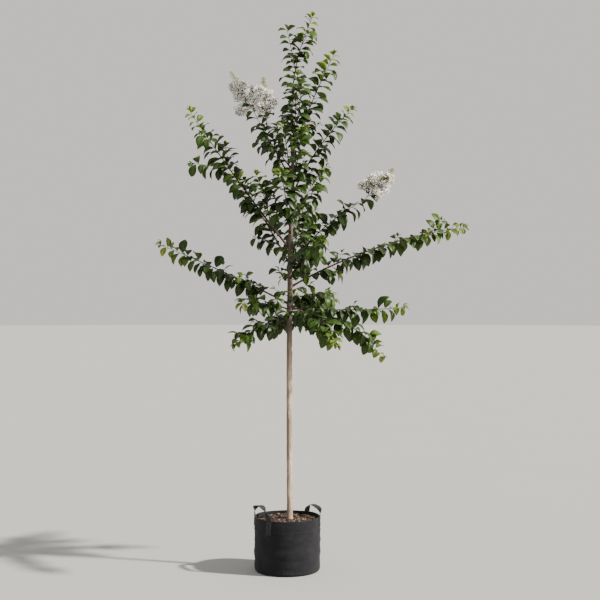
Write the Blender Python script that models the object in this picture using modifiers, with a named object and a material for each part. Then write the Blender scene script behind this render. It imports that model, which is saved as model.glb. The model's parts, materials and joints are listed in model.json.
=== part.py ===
"""Young white crape myrtle, grown on one clear stem in a soft fabric pot with two carrying loops.

Metres, +Z up. The origin is the middle of the pot's flat underside, +X is to the right as the tree is
looked at, and -Y faces the viewer. Every limb springs from the trunk, or from another limb, at a named
height and bearing, and bends evenly from its first angle of rise to its last.
"""

import math
import random
from collections import namedtuple

import bmesh
import bpy
import numpy as np
from mathutils import Matrix, Quaternion, Vector

# Pot: a felt bag, filled almost to its rim
POT_RADIUS = 0.1775
POT_HEIGHT = 0.290
POT_WALL = 0.003
POT_CORNER = 0.012
POT_BULGE = 0.003
POT_STEPS = 32
POT_RINGS = 3
COMPOST_EDGE = 0.268
COMPOST_TOP = 0.2725
COMPOST_SEAT = 0.032

# Carrying loops, sewn flat to the outside of the bag
LOOP_BEARINGS = {"loop_left": 205.0, "loop_right": 21.0}
LOOP_HALF_SPREAD = 32.0
LOOP_WIDTH = 0.034
LOOP_THICKNESS = 0.0026
LOOP_STAND = 0.00045
LOOP_SEWN = 0.075
LOOP_RISES = {"loop_left": 0.064, "loop_right": 0.047}
LOOP_ACROSS = 2
LOOP_ALONG = 24

# Trunk
TRUNK_FOOT = (0.013, 0.0)
TRUNK_TOP = 2.31
TRUNK_RADIUS = 0.0150
TRUNK_TIP_RADIUS = 0.0055
TRUNK_TAPER_POWER = 4.0
FLARE = 0.0030
FLARE_HEIGHT = 0.025
TRUNK_SWAY = 0.0030
TRUNK_LEAN = 0.021

# Clearances: between touching pieces, and between a leaf and what it must not touch
GAP = 0.0003
LEAF_CLEARANCE = 0.0035

# Leaves and twigs. Leaves stand in pairs, and are larger than life because there are fewer of them
LEAF_LENGTH = 0.107
LEAF_WIDTH_SHARE = 0.56
LEAF_WIDEST_AT = 0.44
LEAF_THICKNESS = 0.0018
LEAF_FOLD = 0.07
LEAF_ARCH = 0.15
PAIR_SPACING = 0.0726
YOUNG_LEAF_SHARE = 0.44
SECOND_TRIES = ((1.0, 0.0), (0.78, 0.0), (0.9, 1.0), (0.7, -1.0), (0.55, 0.0))
STEEP_RISE = 0.66
PAIR_TURN = math.radians(38)
TWIG_SPACING = 0.50
TWIG_REACH = 0.15
TWIG_RADIUS = 0.0021
TIP_RADIUS = 0.0010
GOLDEN_ANGLE = math.radians(137.5)
UP = Vector((0.0, 0.0, 1.0))
ACROSS = Vector((1.0, 0.0, 0.0))

# Blossom heads
BLOSSOM_RADIUS = 0.031
BLOSSOM_SPACING = 0.022
SPRIG_REACH = 0.066
SPRIG_RADIUS = 0.0016
BUD_RADIUS = 0.009

# A limb: its parent, the distance up the parent at which it springs, its bearing (0 is +X, 90 is +Y),
# its rise above the level at its root and at its tip, its length, and how much of it is bare. Forks are
# side shoots of a set place: (share of the leafy length, bearing, rise, length).
Limb = namedtuple("Limb", "name parent at bearing rise tip_rise length bare root forks")
LIMBS = [
    Limb("low_left", "trunk", 1.427, 172, 27, 22, 0.785, 0.150, 0.0052, ()),
    Limb("lowest_left", "trunk", 1.309, 197, 20, -56, 0.335, 0.050, 0.0042, ()),
    Limb("front_left", "trunk", 1.398, 231, 14, -4, 0.395, 0.070, 0.0042, ()),
    Limb("low_right", "trunk", 1.404, -12, -3, 4, 0.615, 0.060, 0.0050, ()),
    Limb("droop_right", "trunk", 1.352, 19, 14, -58, 0.615, 0.070, 0.0045, ()),
    Limb("front_right", "trunk", 1.382, -64, 10, -42, 0.575, 0.070, 0.0045, ()),
    Limb("long_right", "trunk", 1.518, 8, 30, 8, 1.025, 0.100, 0.0058, ((0.80, 40, 42, 0.11),)),
    Limb("mid_right", "trunk", 1.625, -10, 57, 27, 0.530, 0.100, 0.0052, ()),
    Limb("front_low", "trunk", 1.560, -70, 36, 6, 0.525, 0.080, 0.0048, ()),
    Limb("upright_right", "trunk", 1.696, 50, 85, 31, 0.565, 0.140, 0.0044, ()),
    Limb("mid_left", "trunk", 1.720, 190, 51, 56, 0.905, 0.215, 0.0062,
         ((0.48, 190, 6, 0.20), (0.46, 150, 76, 0.14))),
    Limb("mid_left_fork", "mid_left", 0.170, 184, 80, 68, 0.275, 0.045, 0.0036, ()),
    Limb("upper_left", "trunk", 2.086, 155, 60, 59, 0.40, 0.100, 0.0050, ()),
    Limb("upper_left_fork", "trunk", 2.150, 214, 40, 68, 0.27, 0.070, 0.0036, ()),
    Limb("upper_right", "trunk", 2.006, -15, 66, 42, 0.565, 0.080, 0.0050, ()),
    Limb("leader_side", "trunk", 2.255, 15, 70, 63, 0.575, 0.050, 0.0040, ()),
    Limb("front_mid", "trunk", 1.800, -97, 46, 32, 0.475, 0.070, 0.0045, ()),
    Limb("front_top", "trunk", 1.965, -78, 58, 44, 0.455, 0.060, 0.0042, ()),
    Limb("back_low", "trunk", 1.340, 106, 12, -30, 0.435, 0.060, 0.0042, ()),
    Limb("back_right", "trunk", 1.452, 64, 10, -10, 0.575, 0.070, 0.0045, ()),
    Limb("back_mid", "trunk", 1.600, 81, 45, 32, 0.715, 0.080, 0.0052, ()),
    Limb("back_left", "trunk", 1.640, 126, 47, 43, 0.775, 0.120, 0.0055, ()),
    Limb("front_upper", "trunk", 2.190, -82, 68, 64, 0.470, 0.055, 0.0038, ()),
    Limb("back_upper", "trunk", 2.215, 76, 66, 64, 0.500, 0.050, 0.0038, ()),
    Limb("back_top", "trunk", 2.060, 101, 58, 48, 0.475, 0.060, 0.0042, ()),
    Limb("leader", "trunk", TRUNK_TOP, 8, 98, 64, 0.685, 0.0, 0.0050, ((0.56, 170, 78, 0.22),)),
]
# Blossom heads carried on the tips of shoots: (limb, rise at the root, rise at the tip, length)
PANICLES = [
    ("upper_left", 60, 57, 0.325),
    ("upper_left_fork", 82, 88, 0.260),
    ("mid_right", 44, 48, 0.235),
]
BEND_STEP = 0.075
PATH_JOINT = 0.012


def clear_scene():
    for obj in list(bpy.data.objects):
        bpy.data.objects.remove(obj)


def make_material(name, colour, roughness):
    material = bpy.data.materials.new(name)
    material.use_nodes = True
    shader = material.node_tree.nodes["Principled BSDF"]
    shader.inputs["Base Color"].default_value = (*colour, 1.0)
    shader.inputs["Roughness"].default_value = roughness
    return material


def direction(bearing, rise):
    """The unit vector of a bearing and a rise above the level, both in degrees."""
    a, e = math.radians(bearing), math.radians(rise)
    return Vector((math.cos(e) * math.cos(a), math.cos(e) * math.sin(a), math.sin(e)))


class Line:
    """A limb, stem or twig: points along its middle, and a radius that tapers evenly."""

    def __init__(self, points, root_radius, tip_radius):
        self.points = [Vector(p) for p in points]
        self.reach = [0.0]
        for a, b in zip(self.points, self.points[1:]):
            self.reach.append(self.reach[-1] + (b - a).length)
        self.length = self.reach[-1]
        self.root_radius, self.tip_radius = root_radius, tip_radius

    def radius(self, distance):
        share = min(1.0, max(0.0, distance / self.length))
        return self.root_radius + (self.tip_radius - self.root_radius) * share

    def at(self, distance):
        """The point and the tangent at a distance from the root."""
        distance = min(max(distance, 0.0), self.length)
        for i in range(len(self.points) - 1):
            if distance <= self.reach[i + 1] or i == len(self.points) - 2:
                run = self.points[i + 1] - self.points[i]
                share = (distance - self.reach[i]) / run.length
                return self.points[i] + run * share, run.normalized()

    def part(self, start, end):
        """The stretch of this line between two distances from its root."""
        inner = [p for p, s in zip(self.points, self.reach) if start + 1e-5 < s < end - 1e-5]
        points = [self.at(start)[0], *inner, self.at(end)[0]]
        return Line(points, self.radius(start), self.radius(end))


def bent_path(start, bearing, rise, tip_rise, length, breaks=()):
    """Points from start that bend evenly from rise to tip_rise. No point falls near a break, so that
    the line runs straight where one piece ends and the next begins."""
    count = max(3, round(length / BEND_STEP))
    marks = [length * (i / count) for i in range(count + 1)]
    for place in breaks:
        marks = [m for m in marks if abs(m - place) > PATH_JOINT or m in (0.0, length)]
        marks += [place - PATH_JOINT, place + PATH_JOINT]
    marks = sorted(m for m in marks if 0.0 <= m <= length)
    point = Vector(start)
    points = [point.copy()]
    for a, b in zip(marks, marks[1:]):
        share = (a + b) / 2 / length
        point = point + direction(bearing, rise + (tip_rise - rise) * share) * (b - a)
        points.append(point.copy())
    return points


def trunk_centre(z):
    """The trunk's middle at a height: almost straight, and leaning a little to the right at the top."""
    share = (z - COMPOST_TOP) / (TRUNK_TOP - COMPOST_TOP)
    sway = TRUNK_SWAY * math.sin(math.pi * share)
    return Vector((TRUNK_FOOT[0] - sway + TRUNK_LEAN * share**4, TRUNK_FOOT[1] + sway, z))


def trunk_radius(z):
    share = (z - COMPOST_TOP) / (TRUNK_TOP - COMPOST_TOP)
    taper = (TRUNK_RADIUS - TRUNK_TIP_RADIUS) * share**TRUNK_TAPER_POWER
    return TRUNK_RADIUS - taper + FLARE * math.exp(-(z - COMPOST_TOP) / FLARE_HEIGHT)


def trunk_line():
    """The trunk's middle, with closer points at the root flare."""
    heights = [COMPOST_TOP + GAP + step for step in (0.0, 0.012, 0.028, 0.055, 0.10)]
    count = 14
    base = heights[-1]
    heights += [base + (TRUNK_TOP - base) * (k + 1) / count for k in range(count)]
    line = Line([trunk_centre(z) for z in heights], TRUNK_RADIUS, TRUNK_TIP_RADIUS)
    line.points[0].xy = line.points[1].xy
    return line


def carry_on(line, bearing, rise, tip_rise, length):
    """Points that go on from a line's tip, face to face with it across the gap, and then bend."""
    tip, along = line.at(line.length)
    start = tip + along * GAP
    return [start, *bent_path(start + along * PATH_JOINT, bearing, rise, tip_rise, length - PATH_JOINT)]


def plan_limbs():
    """Every limb's whole line, by name. It starts in the middle of its parent, or at the trunk's tip."""
    lines = {}
    for limb in LIMBS:
        angles = limb.bearing, limb.rise, limb.tip_rise, limb.length
        if limb.at == TRUNK_TOP:
            points = carry_on(trunk_line(), *angles)
        elif limb.parent == "trunk":
            points = bent_path(trunk_centre(limb.at), *angles, (limb.bare,))
        else:
            points = bent_path(lines[limb.parent].at(limb.at)[0], *angles, (limb.bare,))
        lines[limb.name] = Line(points, limb.root, TIP_RADIUS)
    return lines


def plan_panicles(lines):
    """The line of each blossom head, from just past the tip of the shoot that carries it."""
    heads = {}
    for name, rise, tip_rise, length in PANICLES:
        bearing = next(limb.bearing for limb in LIMBS if limb.name == name)
        points = carry_on(lines[name], bearing, rise, tip_rise, length)
        heads[name] = Line(points, TIP_RADIUS * 1.8, TIP_RADIUS)
    return heads


# Room for each mass

def distances(points, line):
    """The distance of each point to a line, from its middle."""
    p = np.array([tuple(v) for v in points])
    ends = np.array([tuple(v) for v in line.points])
    a, run = ends[:-1], np.diff(ends, axis=0)
    share = np.einsum("pki,ki->pk", p[:, None] - a[None], run) / np.einsum("ki,ki->k", run, run)
    foot = a[None] + np.clip(share, 0, 1)[..., None] * run[None]
    return np.linalg.norm(p[:, None] - foot, axis=2).min(axis=1)


class Room:
    """The space of one mass: what lies nearer to its own stem than to any other mass's, and clear of
    the trunk and the boughs."""

    def __init__(self, own, others, limbs):
        self.own, self.others, self.limbs = own, others, limbs

    def holds(self, points):
        own = distances(points, self.own)
        if any((distances(points, other) < own + LEAF_CLEARANCE).any() for other in self.others):
            return False
        clear = [distances(points, limb).min() - limb.root_radius for limb in self.limbs]
        centre = [trunk_centre(min(p.z, TRUNK_TOP)) for p in points]
        off_trunk = min((p - c).length - trunk_radius(c.z) for p, c in zip(points, centre))
        return min(clear, default=1.0) > LEAF_CLEARANCE and off_trunk > LEAF_CLEARANCE


# Leaves and blossoms, each an eight-faced solid

def octahedron(name):
    """A ball of eight faces, whose points lie on the axes at 1 from the middle."""
    mesh = bpy.data.meshes.new(name)
    bm = bmesh.new()
    bmesh.ops.create_uvsphere(bm, u_segments=4, v_segments=2, radius=1.0)
    bm.to_mesh(mesh)
    bm.free()
    return mesh


def leaf_mesh():
    """A leaf of length 1 along +X from its root: pointed at both ends, folded up along its midrib,
    and arched so that its tip and root hang."""
    mesh = octahedron("leaf")
    half_thickness = LEAF_THICKNESS / LEAF_LENGTH / 2
    for vertex in mesh.vertices:
        x, y, z = vertex.co
        if abs(x) > 0.5:
            vertex.co = (1.0 if x > 0 else 0.0, 0.0, 0.0)
        elif abs(y) > 0.5:
            vertex.co = (LEAF_WIDEST_AT, math.copysign(LEAF_WIDTH_SHARE / 2, y), LEAF_ARCH + LEAF_FOLD)
        else:
            vertex.co = (LEAF_WIDEST_AT, 0.0, LEAF_ARCH + math.copysign(half_thickness, z))
    return mesh


def leaf_matrix(root, out, length, light):
    """Sets a leaf at its root, pointing along out, with its upper side turned to the light."""
    across = light.cross(out)
    if across.length < 1e-3:
        across = Vector((0.0, 1.0, 0.0))
    across.normalize()
    top = out.cross(across)
    turn = Matrix((out, across, top)).transposed()
    return Matrix.Translation(root) @ turn.to_4x4() @ Matrix.Scale(length, 4)


def leaf_outline(matrix):
    """Points along the edges and the back of a leaf set by a matrix. Its middle is the last."""
    half = LEAF_WIDTH_SHARE / 2
    middle = Vector((LEAF_WIDEST_AT, 0.0, LEAF_ARCH))
    left, right = (Vector((LEAF_WIDEST_AT, y, LEAF_ARCH + LEAF_FOLD)) for y in (half, -half))
    root, tip = Vector((0.0, 0.0, 0.0)), Vector((1.0, 0.0, 0.0))
    edges = [a.lerp(b, t) for a in (left, right) for b in (root, tip) for t in (0.0, 0.35, 0.7)]
    return [matrix @ p for p in (root.lerp(middle, 0.5), tip, tip.lerp(middle, 0.5), *edges, middle)]


def side_of(tangent, turn):
    """The way a pair of leaves spreads from wood. It is level on a flat shoot, and lies in the plane
    that faces the viewer on a steep one. The turn moves it round the wood."""
    if abs(tangent.z) < STEEP_RISE:
        side = tangent.cross(UP)
    else:
        side = ACROSS - tangent * ACROSS.dot(tangent)
    return Quaternion(tangent, turn) @ side.normalized()


# Growth

def place_leaf(line, distance, way, turn, droop, length, room, taken, rng):
    """The first leaf that fits at a node: as it would grow, or else shorter or turned further round."""
    point, tangent = line.at(distance)
    forward = rng.uniform(0.15, 0.45)
    hang = droop * rng.uniform(0.7, 1.3)
    light = (UP + Vector((rng.uniform(-0.4, 0.4), rng.uniform(-1.2, 0.3), 0.0))).normalized()
    for scale, extra in SECOND_TRIES:
        side = side_of(tangent, turn + extra) * way
        out = (side * 0.85 + tangent * forward - UP * hang).normalized()
        root = point - out * 0.25 * line.radius(distance)
        matrix = leaf_matrix(root, out, length * scale, light)
        outline = leaf_outline(matrix)
        middle = outline[-1]
        near = any((middle - other).length < 0.36 * length * scale for other in taken)
        if room.holds(outline) and not near:
            taken.append(middle)
            return matrix
    return None


def grow_leaves(line, start, size, young_share, room, taken, rng):
    """Matrices of the leaf pairs along one stretch of wood, from start to its tip."""
    found = []
    distance, sign = start, 1
    while distance < line.length - 0.012:
        steep = abs(line.at(distance)[1].z) > STEEP_RISE
        share = (distance / line.length) ** 4
        young = 1.0 - (1.0 - young_share) * share
        turn = sign * (PAIR_TURN if steep else PAIR_TURN / 2) * rng.uniform(0.6, 1.4)
        droop = (0.30 if steep else 1.15) * (1.0 - 0.5 * share)
        for way in (1, -1):
            place = distance + rng.uniform(0.0, 0.010)
            length = size * young * rng.uniform(0.85, 1.12)
            matrix = place_leaf(line, place, way, turn, droop, length, room, taken, rng)
            if matrix:
                found.append(matrix)
        sign = -sign
        distance += PAIR_SPACING * rng.uniform(0.9, 1.1) * (0.55 + 0.45 * young)
    return found


def tip_leaves(line, count, size, room, rng):
    """The young leaves that close a shoot, fanned about its end."""
    found = []
    point, tangent = line.at(line.length - 0.004)
    first = rng.uniform(0, math.tau)
    for k in range(count):
        side = Quaternion(tangent, first + k * math.tau / count) @ tangent.orthogonal()
        out = (tangent * 1.5 + side.normalized() * 0.8).normalized()
        matrix = leaf_matrix(point - out * 0.25 * TIP_RADIUS, out, size * rng.uniform(0.8, 1.1), UP)
        if room.holds(leaf_outline(matrix)):
            found.append(matrix)
    return found


def side_twig(stem, distance, turn, reach):
    """A straight twig from a stem's middle, out to the side and forward."""
    point, tangent = stem.at(distance)
    way = (tangent * 0.85 + side_of(tangent, turn) * 0.75).normalized()
    return Line([point, point + way * reach], min(TWIG_RADIUS, 0.8 * stem.radius(distance)), TIP_RADIUS)


def grow_mass(limb, stem, room, rng):
    """The twigs and the leaf matrices of one mass."""
    twigs = []
    for share, bearing, rise, reach in limb.forks:
        root = stem.at(share * stem.length)[0]
        fork = Line(bent_path(root, bearing, rise, rise, reach), TWIG_RADIUS, TIP_RADIUS)
        if room.holds([fork.at(fork.length * t)[0] for t in (0.25, 0.5, 0.75, 1.0)]):
            twigs.append(fork)
    distance, turn = 0.04, rng.uniform(0, math.tau)
    while distance < 0.75 * stem.length:
        for attempt in range(4):
            turn += GOLDEN_ANGLE
            reach = TWIG_REACH * (1.0 - 0.6 * distance / stem.length) * rng.uniform(0.8, 1.1)
            twig = side_twig(stem, distance, turn, reach)
            if room.holds([twig.at(reach * t)[0] for t in (0.3, 0.6, 0.8, 1.0)]):
                twigs.append(twig)
                break
        distance += TWIG_SPACING * rng.uniform(0.8, 1.2)
    taken = []
    ends_in_blossom = any(limb.name == name for name, *rest in PANICLES)
    young = 0.8 if ends_in_blossom else YOUNG_LEAF_SHARE
    leaves = grow_leaves(stem, 0.012, LEAF_LENGTH, young, room, taken, rng)
    if not ends_in_blossom:
        leaves += tip_leaves(stem, 2, LEAF_LENGTH * YOUNG_LEAF_SHARE, room, rng)
    for twig in twigs:
        leaves += grow_leaves(twig, 0.035, LEAF_LENGTH * 0.8, YOUNG_LEAF_SHARE, room, taken, rng)
        leaves += tip_leaves(twig, 1, LEAF_LENGTH * YOUNG_LEAF_SHARE, room, rng)
    return twigs, leaves


def ball_matrix(centre, way, radius, flatness):
    """Sets a ball, pressed flat along the way it faces."""
    turn = way.to_track_quat("Z", "X").to_matrix().to_4x4()
    return Matrix.Translation(centre) @ turn @ Matrix.Diagonal((radius, radius, radius * flatness, 1.0))


def grow_panicle(head, room, rng):
    """The sprigs of a blossom head, and the matrices of its blossoms and closed buds."""
    sprigs, balls = [], []
    distance, turn = 0.16 * head.length, rng.uniform(0, math.tau)
    while distance < 0.72 * head.length:
        turn += GOLDEN_ANGLE
        share = distance / head.length
        point, tangent = head.at(distance)
        way = (Quaternion(tangent, turn) @ tangent.orthogonal().normalized() + tangent * 0.5).normalized()
        reach = SPRIG_REACH * (1.2 - share) * rng.uniform(0.85, 1.1)
        radius = BLOSSOM_RADIUS * rng.uniform(0.9, 1.1) * (1.1 - 0.3 * share)
        corners = [point + way * reach + side * radius for side in (way, -way, UP, -UP, ACROSS, -ACROSS)]
        if room.holds(corners):
            sprig = Line([point, point + way * reach], SPRIG_RADIUS, TIP_RADIUS)
            sprigs.append(sprig)
            balls.append(ball_matrix(point + way * reach, way, radius, 0.75))
        distance += BLOSSOM_SPACING * rng.uniform(0.85, 1.1) * (1.1 - 0.5 * share)
    for share in (0.80, 0.93):
        point, tangent = head.at(head.length * share)
        balls.append(ball_matrix(point, tangent, BUD_RADIUS * (1.5 - 0.7 * share), 1.6))
    return sprigs, balls


# Solids

def add_collection(name):
    collection = bpy.data.collections.new(name)
    bpy.context.scene.collection.children.link(collection)
    return collection


def triangle_section(cutters):
    """The three-sided section that gives thin wood its faces: a circle of three points."""
    curve = bpy.data.curves.new("twig_section", "CURVE")
    curve.dimensions = "2D"
    spline = curve.splines.new("POLY")
    spline.points.add(2)
    for k, point in enumerate(spline.points):
        a = math.tau * k / 3
        point.co = (math.cos(a), math.sin(a), 0.0, 1.0)
    spline.use_cyclic_u = True
    section = bpy.data.objects.new("twig_section", curve)
    section.hide_render = True
    section.display_type = "WIRE"
    cutters.objects.link(section)
    return section


def tube(name, line, collection, resolution=2, section=None, grow=0.0):
    """A tapering tube along a line, as a curve with filled caps."""
    curve = bpy.data.curves.new(name, "CURVE")
    curve.dimensions = "3D"
    curve.use_fill_caps = True
    curve.twist_mode = "MINIMUM"
    if section is None:
        curve.bevel_depth = 1.0
        curve.bevel_resolution = resolution
    else:
        curve.bevel_mode = "OBJECT"
        curve.bevel_object = section
    spline = curve.splines.new("POLY")
    spline.points.add(len(line.points) - 1)
    for point, place, distance in zip(spline.points, line.points, line.reach):
        point.co = (*place, 1.0)
        point.radius = line.radius(distance) + grow
    obj = bpy.data.objects.new(name, curve)
    collection.objects.link(obj)
    return obj


def to_mesh(obj):
    """Turns a curve object into a mesh object of the same name with its caps welded on."""
    collection = obj.users_collection[0]
    name, matrix = obj.name, obj.matrix_world.copy()
    evaluated = obj.evaluated_get(bpy.context.evaluated_depsgraph_get())
    mesh = bpy.data.meshes.new_from_object(evaluated)
    bpy.data.objects.remove(obj)
    bm = bmesh.new()
    bm.from_mesh(mesh)
    bmesh.ops.remove_doubles(bm, verts=bm.verts, dist=1e-6)
    bmesh.ops.recalc_face_normals(bm, faces=bm.faces)
    bm.to_mesh(mesh)
    bm.free()
    mesh.name = name
    made = bpy.data.objects.new(name, mesh)
    made.matrix_world = matrix
    collection.objects.link(made)
    return made


def body_volume(faces):
    """The signed volume that a closed set of faces encloses."""
    total = 0.0
    for face in faces:
        a, *rest = (v.co for v in face.verts)
        total += sum(a.dot(b.cross(c)) for b, c in zip(rest, rest[1:])) / 6
    return total


def keep_main_body(mesh):
    """Drops the loose scraps and the sealed hollows that a union leaves."""
    bm = bmesh.new()
    bm.from_mesh(mesh)
    bmesh.ops.triangulate(bm, faces=bm.faces)
    left, bodies = set(bm.faces), []
    while left:
        queue = [left.pop()]
        body = list(queue)
        while queue:
            for edge in queue.pop().edges:
                fresh = [f for f in edge.link_faces if f in left]
                left.difference_update(fresh)
                queue += fresh
                body += fresh
        bodies.append(body)
    main = max(bodies, key=body_volume)
    for body in bodies:
        if body is not main:
            bmesh.ops.delete(bm, geom=body, context="FACES")
    bm.to_mesh(mesh)
    bm.free()


def join_mass(name, stem, twigs, pieces, collection, section, material):
    """One solid from a stem, its twigs, and (mesh, matrix) pieces, by one union on a collection."""
    scraps = add_collection(name + "_pieces")
    base = to_mesh(tube(name, stem, collection, section=section))
    for k, twig in enumerate(twigs):
        to_mesh(tube(f"{name}_twig_{k}", twig, scraps, section=section))
    for k, (mesh, matrix) in enumerate(pieces):
        obj = bpy.data.objects.new(f"{name}_piece_{k}", mesh)
        obj.matrix_world = matrix
        scraps.objects.link(obj)
    union = base.modifiers.new("union", "BOOLEAN")
    union.operation = "UNION"
    union.solver = "EXACT"
    union.operand_type = "COLLECTION"
    union.collection = scraps
    bpy.context.view_layer.update()
    evaluated = base.evaluated_get(bpy.context.evaluated_depsgraph_get())
    joined = bpy.data.meshes.new_from_object(evaluated)
    base.modifiers.remove(union)
    base.data = joined
    joined.name = name
    keep_main_body(joined)
    joined.materials.clear()
    joined.materials.append(material)
    for obj in list(scraps.objects):
        bpy.data.objects.remove(obj)
    bpy.data.collections.remove(scraps)
    return base


def cut_by(obj, cutter):
    """Cuts a limb back to the surface of what carries it, less the gap between touching pieces."""
    cut = obj.modifiers.new("seat", "BOOLEAN")
    cut.operation = "DIFFERENCE"
    cut.solver = "EXACT"
    cut.object = cutter


def hide_helper(obj):
    obj.hide_render = True
    obj.display_type = "WIRE"


# Pot, compost and loops

def ring_heights(top):
    """The heights of the bag's rings below top, from the uppermost down to the lower edge."""
    step = (POT_HEIGHT - POT_CORNER) / POT_RINGS
    rings = [POT_HEIGHT - step * k for k in range(POT_RINGS + 1)]
    return [z for z in rings if z < top]


def wall_radius(z):
    """The outside of the bag: straight-sided, and fuller at half height."""
    rings = ring_heights(POT_HEIGHT * 2)[::-1]
    radii = [POT_RADIUS - POT_BULGE + POT_BULGE * math.sin(math.pi * ring / POT_HEIGHT) for ring in rings]
    return float(np.interp(z, rings, radii))


def turned(name, profile, collection, material):
    """A solid or sheet turned about the upright axis from its profile, top to bottom."""
    mesh = bpy.data.meshes.new(name)
    bm = bmesh.new()
    verts = [bm.verts.new((x, 0.0, z)) for x, z in profile]
    for a, b in zip(verts, verts[1:]):
        bm.edges.new((a, b))
    bm.to_mesh(mesh)
    bm.free()
    mesh.materials.append(material)
    obj = bpy.data.objects.new(name, mesh)
    collection.objects.link(obj)
    screw = obj.modifiers.new("turn", "SCREW")
    screw.steps = screw.render_steps = POT_STEPS
    screw.use_merge_vertices = True
    screw.merge_threshold = 0.0001
    return obj


def corner_arc(radius, corner, z, count=3):
    """Points round the bag's lower edge, from its wall in to its underside."""
    centre = radius - corner
    for k in range(count + 1):
        a = math.pi / 2 * k / count
        yield centre + corner * math.cos(a), z + corner - corner * math.sin(a)


def make_pot(collection, material):
    profile = [(wall_radius(z), z) for z in ring_heights(POT_HEIGHT * 2)[:-1]]
    profile += list(corner_arc(wall_radius(POT_CORNER), POT_CORNER, 0.0))
    profile.append((0.0, 0.0))
    pot = turned("pot", profile, collection, material)
    wall = pot.modifiers.new("felt", "SOLIDIFY")
    wall.thickness = POT_WALL
    wall.offset = -1.0
    return pot


def make_compost(collection, material):
    inside = POT_WALL + GAP
    profile = [(0.0, COMPOST_TOP), (COMPOST_SEAT, COMPOST_TOP)]
    profile += [(wall_radius(z) - inside, z) for z in (COMPOST_EDGE, *ring_heights(COMPOST_EDGE)[:-1])]
    inner_radius = wall_radius(POT_CORNER) - inside
    profile += list(corner_arc(inner_radius, POT_CORNER - inside, inside))
    profile.append((0.0, inside))
    return turned("compost", profile, collection, material)


def loop_frame(share, centre_bearing, rise):
    """The point, the width's way and the outward way of a carrying loop, from one sewn end (0) to
    the other (1). It is flat to the wall where it is sewn, and turns edge-on over its arch."""
    mirror = 1.0 if share < 0.5 else -1.0
    run = min(share, 1.0 - share) * 2
    sewn_share = 0.40
    spread = math.radians(LOOP_HALF_SPREAD)
    lift = POT_HEIGHT - LOOP_SEWN
    if run < sewn_share:
        z = lift + LOOP_SEWN * run / sewn_share
        off, twist = spread, 0.0
    else:
        a = (run - sewn_share) / (1.0 - sewn_share) * math.pi / 2
        z = POT_HEIGHT + rise * math.sin(a)
        off = spread * math.cos(a) ** 0.8
        twist = math.sin(a) ** 2
    bearing = math.radians(centre_bearing) - mirror * off
    radial = Vector((math.cos(bearing), math.sin(bearing), 0.0))
    tangential = Vector((-radial.y, radial.x, 0.0))
    stand = wall_radius(z) + LOOP_STAND + LOOP_THICKNESS / 2
    chord = POT_RADIUS * math.cos(spread)
    inward = (stand - chord / max(0.2, math.cos(off))) * twist * 0.75
    point = radial * (stand - inward) + UP * z
    width = (tangential * mirror * (1.0 - twist) - radial * twist).normalized()
    return point, width


def make_loop(name, centre_bearing, rise, collection, material):
    """A strip of webbing: a grid laid along the loop's line, made thick by Solidify."""
    mesh = bpy.data.meshes.new(name)
    bm = bmesh.new()
    bmesh.ops.create_grid(bm, x_segments=LOOP_ALONG, y_segments=LOOP_ACROSS, size=0.5)
    for vertex in bm.verts:
        along, across = vertex.co.x + 0.5, vertex.co.y
        point, width = loop_frame(along, centre_bearing, rise)
        vertex.co = point + width * across * LOOP_WIDTH
        if vertex.co.z < POT_HEIGHT:
            flat = Vector((vertex.co.x, vertex.co.y, 0.0))
            stand = wall_radius(vertex.co.z) + LOOP_STAND + LOOP_THICKNESS / 2
            vertex.co = flat.normalized() * stand + UP * vertex.co.z
    bmesh.ops.recalc_face_normals(bm, faces=bm.faces)
    bm.to_mesh(mesh)
    bm.free()
    mesh.materials.append(material)
    obj = bpy.data.objects.new(name, mesh)
    collection.objects.link(obj)
    thick = obj.modifiers.new("webbing", "SOLIDIFY")
    thick.thickness = LOOP_THICKNESS
    thick.offset = 0.0
    return obj


# Tree

def make_trunk(name, collection, material, grow=0.0):
    line = trunk_line()
    obj = tube(name, line, collection, resolution=3)
    for point, place in zip(obj.data.splines[0].points, line.points):
        point.radius = trunk_radius(place.z) + grow
    obj.data.materials.append(material)
    return obj


def make_boughs(lines, collection, cutters, material):
    """The bare lower part of each limb, cut back to the surface of its parent."""
    trunk_cutter = to_mesh(make_trunk("trunk_cutter", cutters, material, grow=GAP))
    hide_helper(trunk_cutter)
    seats = {"trunk": trunk_cutter}
    for limb in LIMBS:
        if limb.bare <= 0.0:
            continue
        line = lines[limb.name].part(0.0, limb.bare)
        bough = to_mesh(tube("bough_" + limb.name, line, collection, resolution=1))
        bough.data.materials.append(material)
        if limb.parent not in seats:
            parent = next(other for other in LIMBS if other.name == limb.parent)
            whole = lines[parent.name].part(0.0, parent.bare)
            seat = to_mesh(tube("seat_" + parent.name, whole, cutters, resolution=1, grow=GAP))
            hide_helper(seat)
            seats[limb.parent] = seat
        cut_by(bough, seats[limb.parent])


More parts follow.
